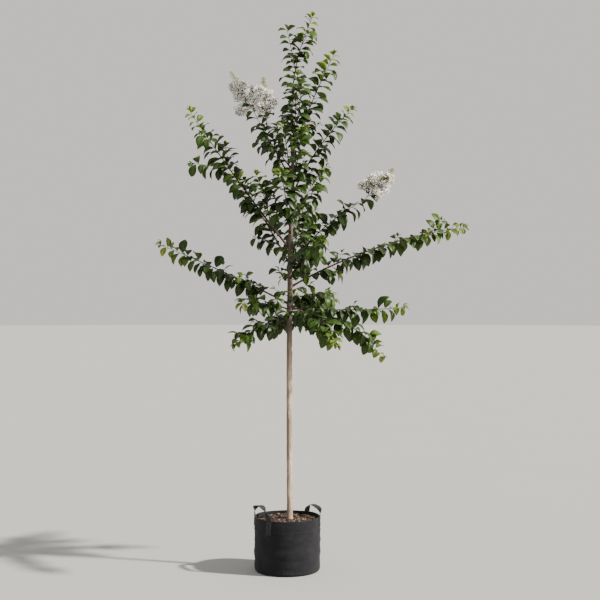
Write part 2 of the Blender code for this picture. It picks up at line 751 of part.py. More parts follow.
def make_masses(lines, heads, collection, section, leaf_green, petal_white):
    """Each mass of leaves and each blossom head, kept to its own room."""
    stems = {}
    for limb in LIMBS:
        line = lines[limb.name]
        stems[limb.name] = line.part(limb.bare + GAP if limb.bare else 0.0, line.length)
    boughs = [lines[limb.name].part(0.0, limb.bare) for limb in LIMBS if limb.bare > 0.0]
    leaf = leaf_mesh()
    blossom = octahedron("blossom")
    for number, limb in enumerate(LIMBS):
        stem = stems[limb.name]
        others = [line for name, line in stems.items() if name != limb.name]
        others += [line for line in heads.values()]
        rng = random.Random(100 + number)
        twigs, leaves = grow_mass(limb, stem, Room(stem, others, boughs), rng)
        pieces = [(leaf, matrix) for matrix in leaves]
        join_mass("foliage_" + limb.name, stem, twigs, pieces, collection, section, leaf_green)
    for number, (name, head) in enumerate(heads.items()):
        others = [*stems.values(), *(line for other, line in heads.items() if other != name)]
        sprigs, balls = grow_panicle(head, Room(head, others, boughs), random.Random(300 + number))
        pieces = [(blossom, matrix) for matrix in balls]
        join_mass("blossom_" + name, head, sprigs, pieces, collection, section, petal_white)


def main():
    clear_scene()
    tree = add_collection("crape_myrtle")
    cutters = add_collection("cutters")
    felt = make_material("black_felt", (0.018, 0.018, 0.020), 0.92)
    webbing = make_material("black_webbing", (0.014, 0.014, 0.016), 0.80)
    earth = make_material("compost", (0.085, 0.042, 0.024), 0.95)
    bark = make_material("bark", (0.42, 0.31, 0.21), 0.75)
    shoot_bark = make_material("shoot_bark", (0.17, 0.085, 0.045), 0.70)
    leaf_green = make_material("leaf_green", (0.045, 0.115, 0.022), 0.45)
    petal_white = make_material("petal_white", (0.86, 0.84, 0.76), 0.70)
    make_pot(tree, felt)
    make_compost(tree, earth)
    for name, bearing in LOOP_BEARINGS.items():
        make_loop(name, bearing, LOOP_RISES[name], tree, webbing)
    make_trunk("trunk", tree, bark)
    lines = plan_limbs()
    heads = plan_panicles(lines)
    section = triangle_section(cutters)
    make_boughs(lines, tree, cutters, shoot_bark)
    make_masses(lines, heads, tree, section, leaf_green, petal_white)


main()
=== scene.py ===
# Young white crape myrtle in a black felt pot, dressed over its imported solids
import json
import math
import random
from collections import namedtuple

import bpy
import numpy as np
from mathutils import Matrix, Quaternion, Vector
from mathutils import noise as relief

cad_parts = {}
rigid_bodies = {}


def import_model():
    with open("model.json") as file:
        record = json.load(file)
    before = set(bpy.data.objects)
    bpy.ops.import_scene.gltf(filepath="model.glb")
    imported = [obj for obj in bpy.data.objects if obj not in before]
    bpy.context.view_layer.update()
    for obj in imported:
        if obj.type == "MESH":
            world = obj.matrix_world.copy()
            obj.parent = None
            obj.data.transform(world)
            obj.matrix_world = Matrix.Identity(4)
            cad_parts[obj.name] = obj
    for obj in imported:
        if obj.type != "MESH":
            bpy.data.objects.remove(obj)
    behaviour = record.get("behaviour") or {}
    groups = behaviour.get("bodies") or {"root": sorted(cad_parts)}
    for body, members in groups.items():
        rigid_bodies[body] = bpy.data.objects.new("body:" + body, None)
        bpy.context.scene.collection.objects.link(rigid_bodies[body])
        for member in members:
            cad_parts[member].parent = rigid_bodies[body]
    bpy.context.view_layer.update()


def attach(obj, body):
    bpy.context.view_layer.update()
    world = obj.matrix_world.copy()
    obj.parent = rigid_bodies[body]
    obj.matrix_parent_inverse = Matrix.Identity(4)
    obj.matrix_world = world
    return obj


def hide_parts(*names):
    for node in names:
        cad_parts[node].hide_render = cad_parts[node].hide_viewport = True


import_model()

up = Vector((0.0, 0.0, 1.0))
across = Vector((1.0, 0.0, 0.0))
goldenAngle = math.radians(137.5)


# Camera: level, square on to the tree, as far away as the picture was taken

view = {"place": (0.068, -6.05, 1.45), "lens": 67.5, "film": 36.0}


def makeCamera():
    lens = bpy.data.cameras.new("camera")
    lens.lens = view["lens"]
    lens.sensor_width = view["film"]
    camera = bpy.data.objects.new("camera", lens)
    camera.location = view["place"]
    camera.rotation_euler = (math.radians(90), 0.0, 0.0)
    bpy.context.scene.collection.objects.link(camera)
    bpy.context.scene.camera = camera


# Floor and light: a pale studio, with the main light from the right, a little in front and high up

studio = {
    "floorSize": 120.0,
    "floorTint": (0.36, 0.356, 0.345),
    "floorShade": 0.95,       # the darker of its two tones, against the tint
    "floorMottle": 1.3,
    "world": (1.0, 0.975, 0.93),
    "worldStrength": 0.80,
    "key": {"from": (6.2, -1.7, 5.2), "spread": 3.0, "strength": 10.4, "tint": (1.0, 0.945, 0.86)},
    "fill": {"from": (-1.5, -6.0, 2.5), "spread": 40.0, "strength": 0.16, "tint": (1.0, 0.97, 0.93)},
}


def addLight(name, settings):
    lamp = bpy.data.lights.new(name, "SUN")
    lamp.angle = math.radians(settings["spread"])
    lamp.energy = settings["strength"]
    lamp.color = settings["tint"]
    light = bpy.data.objects.new(name, lamp)
    light.location = settings["from"]
    light.rotation_euler = (-Vector(settings["from"])).to_track_quat("-Z", "Y").to_euler()
    bpy.context.scene.collection.objects.link(light)


def makeStudio():
    world = bpy.data.worlds.new("studio")
    world.use_nodes = True
    sky = world.node_tree.nodes["Background"]
    sky.inputs["Color"].default_value = (*studio["world"], 1.0)
    sky.inputs["Strength"].default_value = studio["worldStrength"]
    bpy.context.scene.world = world
    addLight("key", studio["key"])
    addLight("fill", studio["fill"])
    deselectAll()
    bpy.ops.mesh.primitive_circle_add(vertices=96, radius=studio["floorSize"] / 2, fill_type="NGON")
    floor = bpy.context.object
    floor.name = "floor"
    paint = Finish("floorPaint", roughness=0.9)
    mottle = paint.noise(studio["floorMottle"], detail=4.0)
    paint.colour(paint.mix(studio["floorTint"], scaled(studio["floorTint"], studio["floorShade"]), mottle))
    floor.data.materials.append(paint.material)


# Small helpers

def deselectAll():
    if bpy.context.object and bpy.context.object.mode != "OBJECT":
        leaveEdit()
    bpy.ops.object.select_all(action="DESELECT")


def pick(piece):
    deselectAll()
    piece.select_set(True)
    bpy.context.view_layer.objects.active = piece


def startPiece(name):
    # names the primitive that has just been added
    piece = bpy.context.object
    piece.name = name
    piece.data.name = name
    return piece


def applyAll(piece):
    # applies the modifiers in their order, then the object's place
    pick(piece)
    for modifier in list(piece.modifiers):
        bpy.ops.object.modifier_apply(modifier=modifier.name)
    bpy.ops.object.transform_apply(location=True, rotation=True, scale=True)


def enterEdit(action="SELECT"):
    bpy.ops.object.mode_set(mode="EDIT")
    bpy.ops.mesh.select_all(action=action)


def leaveEdit():
    bpy.ops.object.mode_set(mode="OBJECT")


def faceOutwards(piece):
    pick(piece)
    enterEdit()
    bpy.ops.mesh.normals_make_consistent(inside=False)
    leaveEdit()


def finishPiece(piece, nodes=(), smooth=True):
    if smooth:
        piece.data.polygons.foreach_set("use_smooth", [True] * len(piece.data.polygons))
    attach(piece, "root")
    if nodes:
        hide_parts(*nodes)
    print(piece.name + ":", len(piece.data.polygons), "faces")


def getPoints(piece):
    points = np.empty(len(piece.data.vertices) * 3)
    piece.data.vertices.foreach_get("co", points)
    return points.reshape(-1, 3)


def setPoints(piece, points):
    piece.data.vertices.foreach_set("co", np.asarray(points, float).ravel())
    piece.data.update()


def scaled(tint, share):
    return [channel * share for channel in tint]


def within(value, low=0.0, high=1.0):
    return min(high, max(low, value))


def bell(offset, width):
    # 1 where offset is 0, falling away on both sides of it
    return math.exp(-((offset / width) ** 2))


def rippled(x, y, z):
    # smooth noise from -1 to 1
    return relief.noise(Vector((x, y, z)))


def ringFaces(low, count):
    # the faces between a ring of count points, the first of them low, and the ring after it
    high = low + count
    return [(low + k, low + (k + 1) % count, high + (k + 1) % count, high + k) for k in range(count)]


class Pile:
    # many small shapes gathered into one joined mesh, each with its material slots and flat layout

    def __init__(self):
        self.points = []
        self.faces = []
        self.slots = []
        self.corners = []
        self.count = 0

    def add(self, points, faces, slots=None, corners=None):
        self.points.append(np.asarray(points, float))
        self.faces += [tuple(i + self.count for i in face) for face in faces]
        self.slots += slots if slots is not None else [0] * len(faces)
        if corners is not None:
            self.corners += [corners[i] for face in faces for i in face]
        self.count += len(points)

    def addTurned(self, shape, matrix):
        points, *rest = shape
        turn = np.array(matrix)
        self.add(points @ turn[:3, :3].T + turn[:3, 3], *rest)

    def piece(self, name, materials):
        mesh = bpy.data.meshes.new(name)
        mesh.from_pydata(np.concatenate(self.points).tolist(), [], self.faces)
        for material in materials:
            mesh.materials.append(material)
        mesh.polygons.foreach_set("material_index", self.slots)
        if self.corners:
            layer = mesh.uv_layers.new(name="spread")
            layer.data.foreach_set("uv", np.asarray(self.corners, float).ravel())
        mesh.update()
        made = bpy.data.objects.new(name, mesh)
        bpy.context.scene.collection.objects.link(made)
        return made


def finishPile(pile, name, materials, nodes=(), smooth=True):
    made = pile.piece(name, materials if isinstance(materials, list) else [materials])
    faceOutwards(made)
    finishPiece(made, nodes, smooth)


# Shader maths: an expression on values adds its own nodes

class Value:
    def __init__(self, finish, socket):
        self.finish = finish
        self.socket = socket

    def maths(self, operation, *others):
        return self.finish.maths(operation, self, *others)

    def __add__(self, other):
        return self.maths("ADD", other)

    __radd__ = __add__

    def __sub__(self, other):
        return self.maths("SUBTRACT", other)

    def __rsub__(self, other):
        return self.finish.maths("SUBTRACT", other, self)

    def __mul__(self, other):
        return self.maths("MULTIPLY", other)

    __rmul__ = __mul__

    def __abs__(self):
        return self.maths("ABSOLUTE")


class Finish:
    # one material, with its own shader and the object's coordinates at hand

    def __init__(self, name, roughness=0.6, **constants):
        self.material = bpy.data.materials.new(name)
        self.material.use_nodes = True
        self.tree = self.material.node_tree
        self.shader = self.tree.nodes["Principled BSDF"]
        self.shader.inputs["Roughness"].default_value = roughness
        for key, value in constants.items():
            self.shader.inputs[key.replace("_", " ")].default_value = value
        self.place = self.node("ShaderNodeTexCoord", output="Object")

    def node(self, kind, settings=None, sockets=None, output=0):
        made = self.tree.nodes.new(kind)
        for key, value in (settings or {}).items():
            if key == "stops":
                ramp = made.color_ramp.elements
                while len(ramp) < len(value):
                    ramp.new(0.5)
                for stop, (position, tint) in zip(ramp, value):
                    stop.position = position
                    stop.color = (*tint, 1.0)
            else:
                setattr(made, key, value)
        for key, value in (sockets or {}).items():
            self.feed(made.inputs[key], value)
        return Value(self, made.outputs[output])

    def feed(self, socket, value):
        if isinstance(value, Value):
            self.tree.links.new(value.socket, socket)
        elif socket.type == "RGBA" and len(value) == 3:
            socket.default_value = (*value, 1.0)
        else:
            socket.default_value = value

    def maths(self, operation, *values):
        return self.node("ShaderNodeMath", {"operation": operation}, dict(enumerate(values)))

    def mix(self, first, second, share):
        settings = {"data_type": "RGBA", "clamp_factor": True}
        return self.node("ShaderNodeMix", settings, {0: share, 6: first, 7: second}, output=2)

    def step(self, value, low, high):
        sockets = {"Value": value, "From Min": low, "From Max": high}
        return self.node("ShaderNodeMapRange", {"interpolation_type": "SMOOTHSTEP"}, sockets)

    def tones(self, name, pattern, low, high):
        # the dark and the light tone of this name, mixed by a pattern between two of its values
        return self.mix(*tints[name], self.step(pattern, low, high))

    def stretched(self, x, y, z):
        return self.node("ShaderNodeVectorMath", {"operation": "MULTIPLY"}, {0: self.place, 1: (x, y, z)})

    def noise(self, scale, detail=3.0, roughness=0.55, where=None):
        sockets = {"Vector": where or self.place, "Scale": scale, "Detail": detail, "Roughness": roughness}
        return self.node("ShaderNodeTexNoise", None, sockets, output="Fac")

    def cells(self, scale, where=None, feature="F1"):
        sockets = {"Vector": where or self.place, "Scale": scale}
        return self.node("ShaderNodeTexVoronoi", {"feature": feature}, sockets, output="Distance")

    def parts(self, vector):
        # the three numbers of a place
        split = self.node("ShaderNodeSeparateXYZ", None, {0: vector})
        return [Value(self, socket) for socket in split.socket.node.outputs]

    def spread(self, name):
        # the two numbers of the piece's own flat layout
        return self.parts(self.node("ShaderNodeUVMap", {"uv_map": name}))[:2]

    def painted(self, name):
        return self.node("ShaderNodeAttribute", {"attribute_name": name}, output="Fac")

    def colour(self, value):
        self.feed(self.shader.inputs["Base Color"], value)

    def rough(self, share, low, high):
        spread = self.node("ShaderNodeMapRange", None, {"Value": share, "To Min": low, "To Max": high})
        self.feed(self.shader.inputs["Roughness"], spread)

    def bump(self, height, depth, strength):
        sockets = {"Height": height, "Distance": depth, "Strength": strength}
        lifted = self.node("ShaderNodeBump", None, sockets)
        self.feed(self.shader.inputs["Normal"], lifted)


# Colours, most as a dark and a light tone that a pattern mixes

tints = {
    "felt": ((0.0032, 0.0034, 0.0050), (0.0088, 0.0091, 0.0126)),
    "feltWorn": (0.0150, 0.0150, 0.0186),
    "feltDust": (0.046, 0.046, 0.052),
    "webbing": ((0.0030, 0.0033, 0.0048), (0.0105, 0.0112, 0.0155)),
    "webbingFuzz": (0.028, 0.030, 0.036),
    # the hem thread's grey is partly the thread's own colour and partly a painted highlight for the light
    # it catches
    "hemThread": (0.040, 0.040, 0.043),
    "loopThread": (0.068, 0.068, 0.072),
    "compost": ((0.010, 0.0056, 0.0038), (0.050, 0.026, 0.016)),
    "compostBits": (0.14, 0.082, 0.053),
    "compostCracks": (0.011, 0.007, 0.005),
    "chipsBrown": ((0.020, 0.0105, 0.0070), (0.066, 0.035, 0.022)),
    "chipsRed": ((0.038, 0.0165, 0.0105), (0.105, 0.050, 0.034)),
    "chipsPale": ((0.190, 0.122, 0.086), (0.420, 0.312, 0.232)),
    "cream": ((0.34, 0.250, 0.175), (0.68, 0.545, 0.410)),
    "flake": (0.205, 0.148, 0.105),
    "flakeEdge": (0.15, 0.095, 0.06),
    "pore": (0.11, 0.066, 0.042),
    "shaded": (0.098, 0.069, 0.050),
    "brown": ((0.021, 0.014, 0.010), (0.084, 0.057, 0.039)),
    "knot": (0.075, 0.043, 0.027),
    "shootBark": ((0.017, 0.0085, 0.0050), (0.056, 0.028, 0.0155)),
    "twigBark": ((0.040, 0.020, 0.009), (0.090, 0.053, 0.020)),
    "sprigBark": ((0.090, 0.055, 0.025), (0.190, 0.130, 0.060)),
    "petals": ((0.88, 0.86, 0.80), (0.975, 0.97, 0.945)),
    "stamens": ((0.55, 0.30, 0.05), (0.80, 0.55, 0.12)),
    "buds": ((0.13, 0.16, 0.035), (0.30, 0.27, 0.075)),
    "topBuds": ((0.20, 0.23, 0.045), (0.36, 0.36, 0.085)),
}


# Finishes of the pot and what fills it

def feltFinish():
    felt = Finish("blackFelt", roughness=0.93, Specular_IOR_Level=0.3,
                  Sheen_Weight=0.04, Sheen_Roughness=0.5)
    fibres = felt.noise(1400, detail=2.0, where=felt.stretched(1.0, 1.0, 0.55))
    matting = felt.noise(210, detail=4.0, roughness=0.7)
    clouds = felt.noise(14, detail=3.0)
    dust = felt.step(felt.noise(620, detail=2.0), 0.62, 0.74)
    black = felt.tones("felt", matting, 0.32, 0.70)
    worn = felt.mix(black, tints["feltWorn"], felt.step(clouds, 0.45, 0.80) * 0.5)
    felt.colour(felt.mix(worn, tints["feltDust"], dust * 0.30))
    felt.bump(fibres * 0.35 + matting * 0.65, 0.0011, 0.85)
    return felt.material


def webbingFinish(ribCount=165.0, rowCount=11.0):
    # ribs run across the strap in offset rows, as on a woven tape
    tape = Finish("blackWebbing", roughness=0.62)
    along, wide = tape.spread("UVMap")
    ribs = (along * ribCount * math.tau).maths("SINE")
    rows = (wide * rowCount * math.tau).maths("SINE")
    weave = ribs * rows
    fuzz = tape.noise(900, detail=3.0)
    raised = tape.step(weave, -0.5, 0.6)
    black = tape.mix(*tints["webbing"], raised)
    tape.colour(tape.mix(black, tints["webbingFuzz"], tape.step(fuzz, 0.55, 0.8) * 0.35))
    tape.rough(raised, 0.78, 0.55)
    tape.bump(raised + fuzz * 0.3, 0.0007, 0.9)
    return tape.material


def threadFinish(name):
    thread = Finish(name, roughness=0.55)
    twist = (thread.noise(2400, detail=1.0) + thread.noise(300, detail=2.0)) * 0.5
    thread.colour(thread.mix(scaled(tints[name], 0.6), tints[name], thread.step(twist, 0.35, 0.65)))
    thread.bump(twist, 0.0003, 0.7)
    return thread.material


def compostFinish():
    earth = Finish("compost", roughness=0.95)
    crumbs = earth.cells(230)
    lumps = earth.noise(55, detail=5.0, roughness=0.7)
    fine = earth.noise(700, detail=3.0)
    brown = earth.tones("compost", lumps, 0.30, 0.68)
    bits = earth.mix(brown, tints["compostBits"], earth.step(fine, 0.58, 0.76) * 0.8)
    earth.colour(earth.mix(bits, tints["compostCracks"], earth.step(crumbs, 0.42, 0.75) * 0.6))
    earth.bump((1 - crumbs) * 0.6 + fine * 0.4 + lumps * 0.6, 0.004, 0.9)
    return earth.material


def chipFinish(name):
    # composted bark: split along the grain, darker and rougher in its cracks
    dark, light = tints[name]
    chip = Finish(name, roughness=0.88)
    grain = chip.noise(420, detail=4.0, where=chip.stretched(1.0, 0.25, 0.6))
    patches = chip.noise(60, detail=3.0)
    cracks = chip.cells(260, where=chip.stretched(0.35, 1.0, 1.0), feature="DISTANCE_TO_EDGE")
    wood = chip.mix(dark, light, chip.step(grain * 0.6 + patches * 0.4, 0.36, 0.62))
    crack = 1 - chip.step(cracks, 0.0, 0.12)
    chip.colour(chip.mix(wood, scaled(dark, 0.35), crack * 0.7))
    chip.bump(grain - crack * 0.7, 0.0016, 0.9)
    return chip.material


# Finishes of the wood

def trunkFinish(turnsBrown=(1.12, 1.32)):
    # smooth cream bark with greyer flakes, fine upright streaks, dark knots and pores; painted shade greys
    # the side away from the key light, and between the two heights given it turns brown, partly as its own
    # browner bark and partly as painted shade from the crown above
    bark = Finish("trunkBark", roughness=0.72)
    streaks = bark.noise(260, detail=5.0, roughness=0.65, where=bark.stretched(1.0, 1.0, 0.085))
    flakes = bark.noise(46, detail=4.0, roughness=0.6, where=bark.stretched(1.0, 1.0, 0.16))
    broad = bark.noise(9, detail=2.0, where=bark.stretched(1.0, 1.0, 0.35))
    pores = bark.cells(150, where=bark.stretched(1.0, 1.0, 1.9))
    rough = bark.noise(700, detail=3.0)
    sideways, depth, height = bark.parts(bark.place)
    cream = bark.tones("cream", streaks, 0.34, 0.64)
    patches = flakes + broad * 0.35
    flake = bark.step(patches, 0.66, 0.74)
    mottled = bark.mix(cream, tints["flake"], flake * 0.75)
    edge = bark.step(patches, 0.62, 0.66) * (1 - bark.step(patches, 0.66, 0.70))
    lined = bark.mix(mottled, tints["flakeEdge"], edge * 0.5)
    pore = 1 - bark.step(pores, 0.05, 0.14)
    spotted = bark.mix(lined, tints["pore"], pore * 0.75)
    # painted shade: the side away from the key light is mixed towards a darker grey-brown
    away = bark.step(trunkFoot.x - sideways + (broad - 0.5) * 0.01, -0.002, 0.013)
    shaded = bark.mix(spotted, tints["shaded"], away * 0.66)
    # darker brown up in the crown: partly the bark's own browner colour, partly painted shade from the
    # leaves above
    young = bark.step(height + (broad - 0.5) * 0.3 + (streaks - 0.5) * 0.12, *turnsBrown)
    brown = bark.tones("brown", streaks * 0.7 + flakes * 0.3, 0.40, 0.64)
    crownBrownAndShade = bark.mix(shaded, brown, young * 0.88)
    knot = bark.step(bark.painted("knot") + rough * 0.25, 0.35, 0.95)
    bark.colour(bark.mix(crownBrownAndShade, tints["knot"], knot))
    bark.rough(flake, 0.62, 0.84)
    bark.bump(streaks * 0.45 + rough * 0.15 - flake * 0.5 - pore * 0.6, 0.0011, 0.8)
    return bark.material


def shootFinish(name):
    # thin young bark, with pale pores and long fibres
    dark, light = tints[name]
    bark = Finish(name, roughness=0.7, Specular_IOR_Level=0.3)
    fibres = bark.noise(520, detail=4.0, where=bark.stretched(1.0, 1.0, 0.3))
    blotches = bark.noise(45, detail=3.0)
    pores = bark.step(bark.noise(800, detail=1.0), 0.66, 0.74)
    wood = bark.mix(dark, light, bark.step(fibres * 0.55 + blotches * 0.45, 0.36, 0.62))
    bark.colour(bark.mix(wood, scaled(light, 1.9), pores * 0.3))
    bark.bump(fibres + pores * 0.5, 0.0005, 0.8)
    return bark.material


# Finishes of the leaves and the blossom

def leafFinish(name, dark, light, rib, gloss, veinPairs=7.0):
    # two close greens, with a paler network of side veins laid out along each leaf
    skin = Finish(name, roughness=gloss, Specular_IOR_Level=0.21, Coat_Weight=0.04, Coat_Roughness=0.35)
    wide, along = skin.spread("spread")
    fromRib = abs(wide - 0.5) * 2
    blotches = skin.noise(38, detail=3.0)
    veins = ((along * veinPairs - fromRib * 1.25 + blotches * 0.35) * math.tau).maths("SINE")
    vein = skin.step(veins, 0.80, 1.0) * skin.step(fromRib, 0.02, 0.12)
    vein = vein * (1 - skin.step(fromRib, 0.60, 0.95))
    pores = skin.noise(900, detail=2.0)
    green = skin.mix(dark, light, skin.step(blotches * 0.8 + pores * 0.2, 0.34, 0.66))
    skin.colour(skin.mix(green, rib, vein * 0.08))
    skin.bump(pores * 0.3 + blotches * 0.4 - vein * 0.35, 0.0008, 0.6)
    return skin.material


# Leaves from the oldest to the newest: two close greens, the rib, and the roughness of the upper side
greens = (
    ("Dark", (0.0081, 0.0219, 0.0019), (0.0173, 0.0393, 0.0035), (0.0539, 0.0847, 0.0154), 0.42),
    ("Green", (0.0146, 0.0370, 0.0027), (0.0300, 0.0647, 0.0054), (0.0770, 0.1155, 0.0200), 0.44),
    ("Young", (0.0400, 0.0832, 0.0052), (0.0739, 0.1309, 0.0096), (0.1386, 0.1771, 0.0270), 0.46),
    ("Lime", (0.1040, 0.1525, 0.0108), (0.1733, 0.2194, 0.0200), (0.2310, 0.2387, 0.0385), 0.48),
)
underLift = (0.020, 0.022, 0.008)     # how much paler the underside is
underRoughness = 0.62


def leafFinishes(name, dark, light, rib, gloss):
    under = [channel * 1.35 + lift for channel, lift in zip(light, underLift)]
    return [
        leafFinish("leafTop" + name, dark, light, rib, gloss),
        ribFinish("leafRib" + name, rib),
        leafFinish("leafUnder" + name, scaled(under, 0.8), under, rib, underRoughness),
    ]


def ribFinish(name, tint):
    rib = Finish(name, roughness=0.5)
    mottle = rib.noise(300, detail=2.0)
    rib.colour(rib.mix(scaled(tint, 0.82), tint, mottle))
    rib.bump(mottle, 0.0003, 0.5)
    return rib.material


def petalFinish():
    # thin crepe: fine creases, with a little cream in the folds
    petal = Finish("whitePetals", roughness=0.62, Sheen_Weight=0.30, Sheen_Roughness=0.5,
                   Subsurface_Weight=0.8, Subsurface_Radius=(0.020, 0.019, 0.017), Subsurface_Scale=1.0)
    creases = petal.noise(420, detail=4.0, roughness=0.65)
    shade = petal.noise(90, detail=2.0)
    petal.colour(petal.tones("petals", creases * 0.6 + shade * 0.4, 0.32, 0.54))
    petal.bump(creases, 0.0008, 0.6)
    return petal.material


def plainFinish(name, scale, depth, roughness):
    plain = Finish(name, roughness=roughness)
    mottle = plain.noise(scale, detail=3.0)
    plain.colour(plain.tones(name, mottle, 0.35, 0.65))
    plain.bump(mottle, depth, 0.7)
    return plain.material


# The bag: a felt wall turned in at its rim, softly creased, with a stitched hem

pot = {
    "radius": 0.1775,
    "height": 0.290,
    "wall": 0.0027,
    "corner": 0.012,
    "bulge": 0.003,
    "sides": 160,
    "rings": 52,
    "lip": 0.003,             # the rim's rounding, up and down
    "lipDepth": 0.0032,       # and in and out
    "inner": 0.0066,          # from the outside to the turned-in layer
    "turnIn": 0.030,          # how far the rim comes down inside
    "sag": 0.0020,            # broad swells of the wall
    "creases": 0.0042,
    "wrinkles": 0.0019,
    "crumple": 0.0007,
    "rimWave": 0.0030,
    "rimWaveFrom": 0.20,      # the height from which the wall follows the rim's wave
    "hem": 0.056,             # the stitch line's distance below the rim
    "hemSway": 0.0035,
    "hemLift": 0.0010,        # the second layer of felt above the stitch line
    "groove": 0.0011,         # how deep the stitches pull the felt in
    "stitches": 205,
    "puckers": 58,            # round the foot
    "puckerDepth": 0.0021,
    "seam": 0.0016,
    "seamHeight": 0.009,
    "footStitches": 0.0195,
}


def plainWall(z):
    return pot["radius"] - pot["bulge"] + pot["bulge"] * math.sin(math.pi * within(z / pot["height"]))


def hemLine(bearing):
    # the stitch line wanders a little as it goes round
    sway = rippled(math.cos(bearing) * 2.1, math.sin(bearing) * 2.1, 4.0)
    return pot["height"] - pot["hem"] + sway * pot["hemSway"]


def wallRadius(bearing, z):
    # the outside of the bag, with its creases, hem and puckers
    c, s = math.cos(bearing), math.sin(bearing)
    low = within((z - 0.004) / 0.030)
    body = rippled(c * 1.1, s * 1.1, z * 4.0 + 9.0) * pot["sag"]
    folds = rippled(c * 1.7, s * 1.7, z * 24.0) * pot["creases"]
    fine = rippled(c * 7.0, s * 7.0, z * 62.0 + 3.0) * pot["crumple"]
    fine += rippled(c * 3.0, s * 3.0, z * 46.0 + 6.0) * pot["wrinkles"]
    below = 1.0 - within((z - 0.10) / 0.15) * 0.55
    line = hemLine(bearing)
    lift = pot["hemLift"] / (1.0 + math.exp(-(z - line - 0.001) / 0.0009))
    groove = -pot["groove"] * bell(z - line, 0.0026)
    groove *= 1.0 + 0.5 * math.sin(bearing * pot["stitches"])
    pucker = math.sin(bearing * pot["puckers"] + 2.4 * rippled(c * 5.0, s * 5.0, 0.5))
    base = pot["puckerDepth"] * pucker * bell(z - 0.018, 0.014)
    seam = pot["seam"] * bell(z - pot["seamHeight"], 0.0035)
    return plainWall(z) + low * (body + folds * below + fine) + lift + groove + base * low + seam


def rimDrop(bearing, z):
    # the rim dips and rises gently, and the wall below follows it less and less
    share = max(0.0, (z - pot["rimWaveFrom"]) / 0.09)
    wave = rippled(math.cos(bearing) * 1.6, math.sin(bearing) * 1.6, 7.0)
    return wave * pot["rimWave"] * share


def bagOutline(foot):
    # radius and height up the outside, over the rim and down inside it
    outline = []
    for k in range(1, 5):
        a = math.pi / 2 * k / 4
        outline.append((foot + pot["corner"] * math.sin(a), pot["corner"] * (1.0 - math.cos(a))))
    top = pot["height"] - pot["lip"]
    outer = plainWall(top)
    for k in range(1, pot["rings"] + 1):
        z = pot["corner"] + (top - pot["corner"]) * k / pot["rings"]
        outline.append((plainWall(z), z))
    for k in range(1, 6):
        a = math.pi * k / 5
        outline.append((outer - pot["lipDepth"] * (1.0 - math.cos(a)), top + pot["lip"] * math.sin(a)))
    for k in range(1, 5):
        outline.append((outer - pot["inner"], top - pot["turnIn"] * k / 4))
    return outline


def makePot(material):
    deselectAll()
    foot = pot["radius"] - pot["bulge"] - pot["corner"]
    bpy.ops.mesh.primitive_circle_add(vertices=pot["sides"], radius=foot, fill_type="NGON")
    bag = startPiece("feltBag")
    enterEdit()
    bpy.ops.mesh.inset(thickness=foot * 0.35)
    bpy.ops.mesh.inset(thickness=foot * 0.40)
    bpy.ops.mesh.select_all(action="SELECT")
    bpy.ops.mesh.region_to_loop()
    radius, height = foot, 0.0
    for nextRadius, nextHeight in bagOutline(foot):
        bpy.ops.mesh.extrude_edges_move(TRANSFORM_OT_translate={"value": (0, 0, nextHeight - height)})
        share = nextRadius / radius
        bpy.ops.transform.resize(value=(share, share, 1.0), center_override=(0, 0, nextHeight))
        radius, height = nextRadius, nextHeight
    leaveEdit()
    top = pot["height"] - pot["lip"]
    points = getPoints(bag)
    for i, (x, y, z) in enumerate(points):
        bearing, reach = math.atan2(y, x), math.hypot(x, y)
        if z >= pot["corner"] - 1e-6:
            inside = reach - plainWall(min(z, top))
            turnedIn = z > top - pot["turnIn"] - 1e-4 and inside < -0.0004
            reach = wallRadius(bearing, z) + (inside if turnedIn else 0.0)
        if z > 1e-5:
            points[i] = (reach * math.cos(bearing), reach * math.sin(bearing), z + rimDrop(bearing, z))
    setPoints(bag, points)
    faceOutwards(bag)
    wall = bag.modifiers.new("wall", "SOLIDIFY")
    wall.thickness = pot["wall"]
    wall.offset = -1.0
    applyAll(bag)
    bag.data.materials.append(material)
    finishPiece(bag, ["pot"])


# Stitches: short spindles of thread, laid end to end along a line on the felt

stitch = {"length": 0.0042, "gap": 0.0014, "thickness": 0.00055, "sides": 5}


def addStitch(pile, start, end, out):
    # one stitch from start to end, standing a little off the felt
    start, end = Vector(start), Vector(end)
    along = end - start
    side = along.normalized().cross(out).normalized()
    rise = side.cross(along).normalized()
    if rise.dot(out) < 0:
        rise = -rise
    points = [start - rise * stitch["thickness"] * 0.6]
    for share in (0.22, 0.78):
        for k in range(stitch["sides"]):
            a = math.tau * k / stitch["sides"]
            off = side * math.cos(a) + rise * math.sin(a) * 0.8
            points.append(start + along * share + (off + rise * 0.5) * stitch["thickness"])
    points.append(end - rise * stitch["thickness"] * 0.6)
    n = stitch["sides"]
    faces = [(0, 1 + (k + 1) % n, 1 + k) for k in range(n)]
    faces += ringFaces(1, n)
    faces += [(1 + n + k, 1 + n + (k + 1) % n, 1 + 2 * n) for k in range(n)]
    pile.add(points, faces)


def wallPlace(bearing, z, stand=0.0):
    reach = wallRadius(bearing, z) + stand
    return Vector((reach * math.cos(bearing), reach * math.sin(bearing), z + rimDrop(bearing, z)))


def makeHemStitches(material):
    # one row along the hem, and every second stitch of another round the foot
    pile = Pile()
    share = stitch["length"] / (stitch["length"] + stitch["gap"])
    for k in range(pot["stitches"]):
        start, end = (math.tau * (k + e) / pot["stitches"] for e in (0.0, share))
        out = Vector((math.cos(start), math.sin(start), 0.0))
        addStitch(pile, *(wallPlace(a, hemLine(a), 0.0004) for a in (start, end)), out)
        if k % 2 == 0:
            addStitch(pile, *(wallPlace(a, pot["footStitches"], 0.0003) for a in (start, end)), out)
    finishPile(pile, "hemStitches", material)


# Carrying loops: flat webbing, sewn down outside the wall and standing up in an arch over the rim

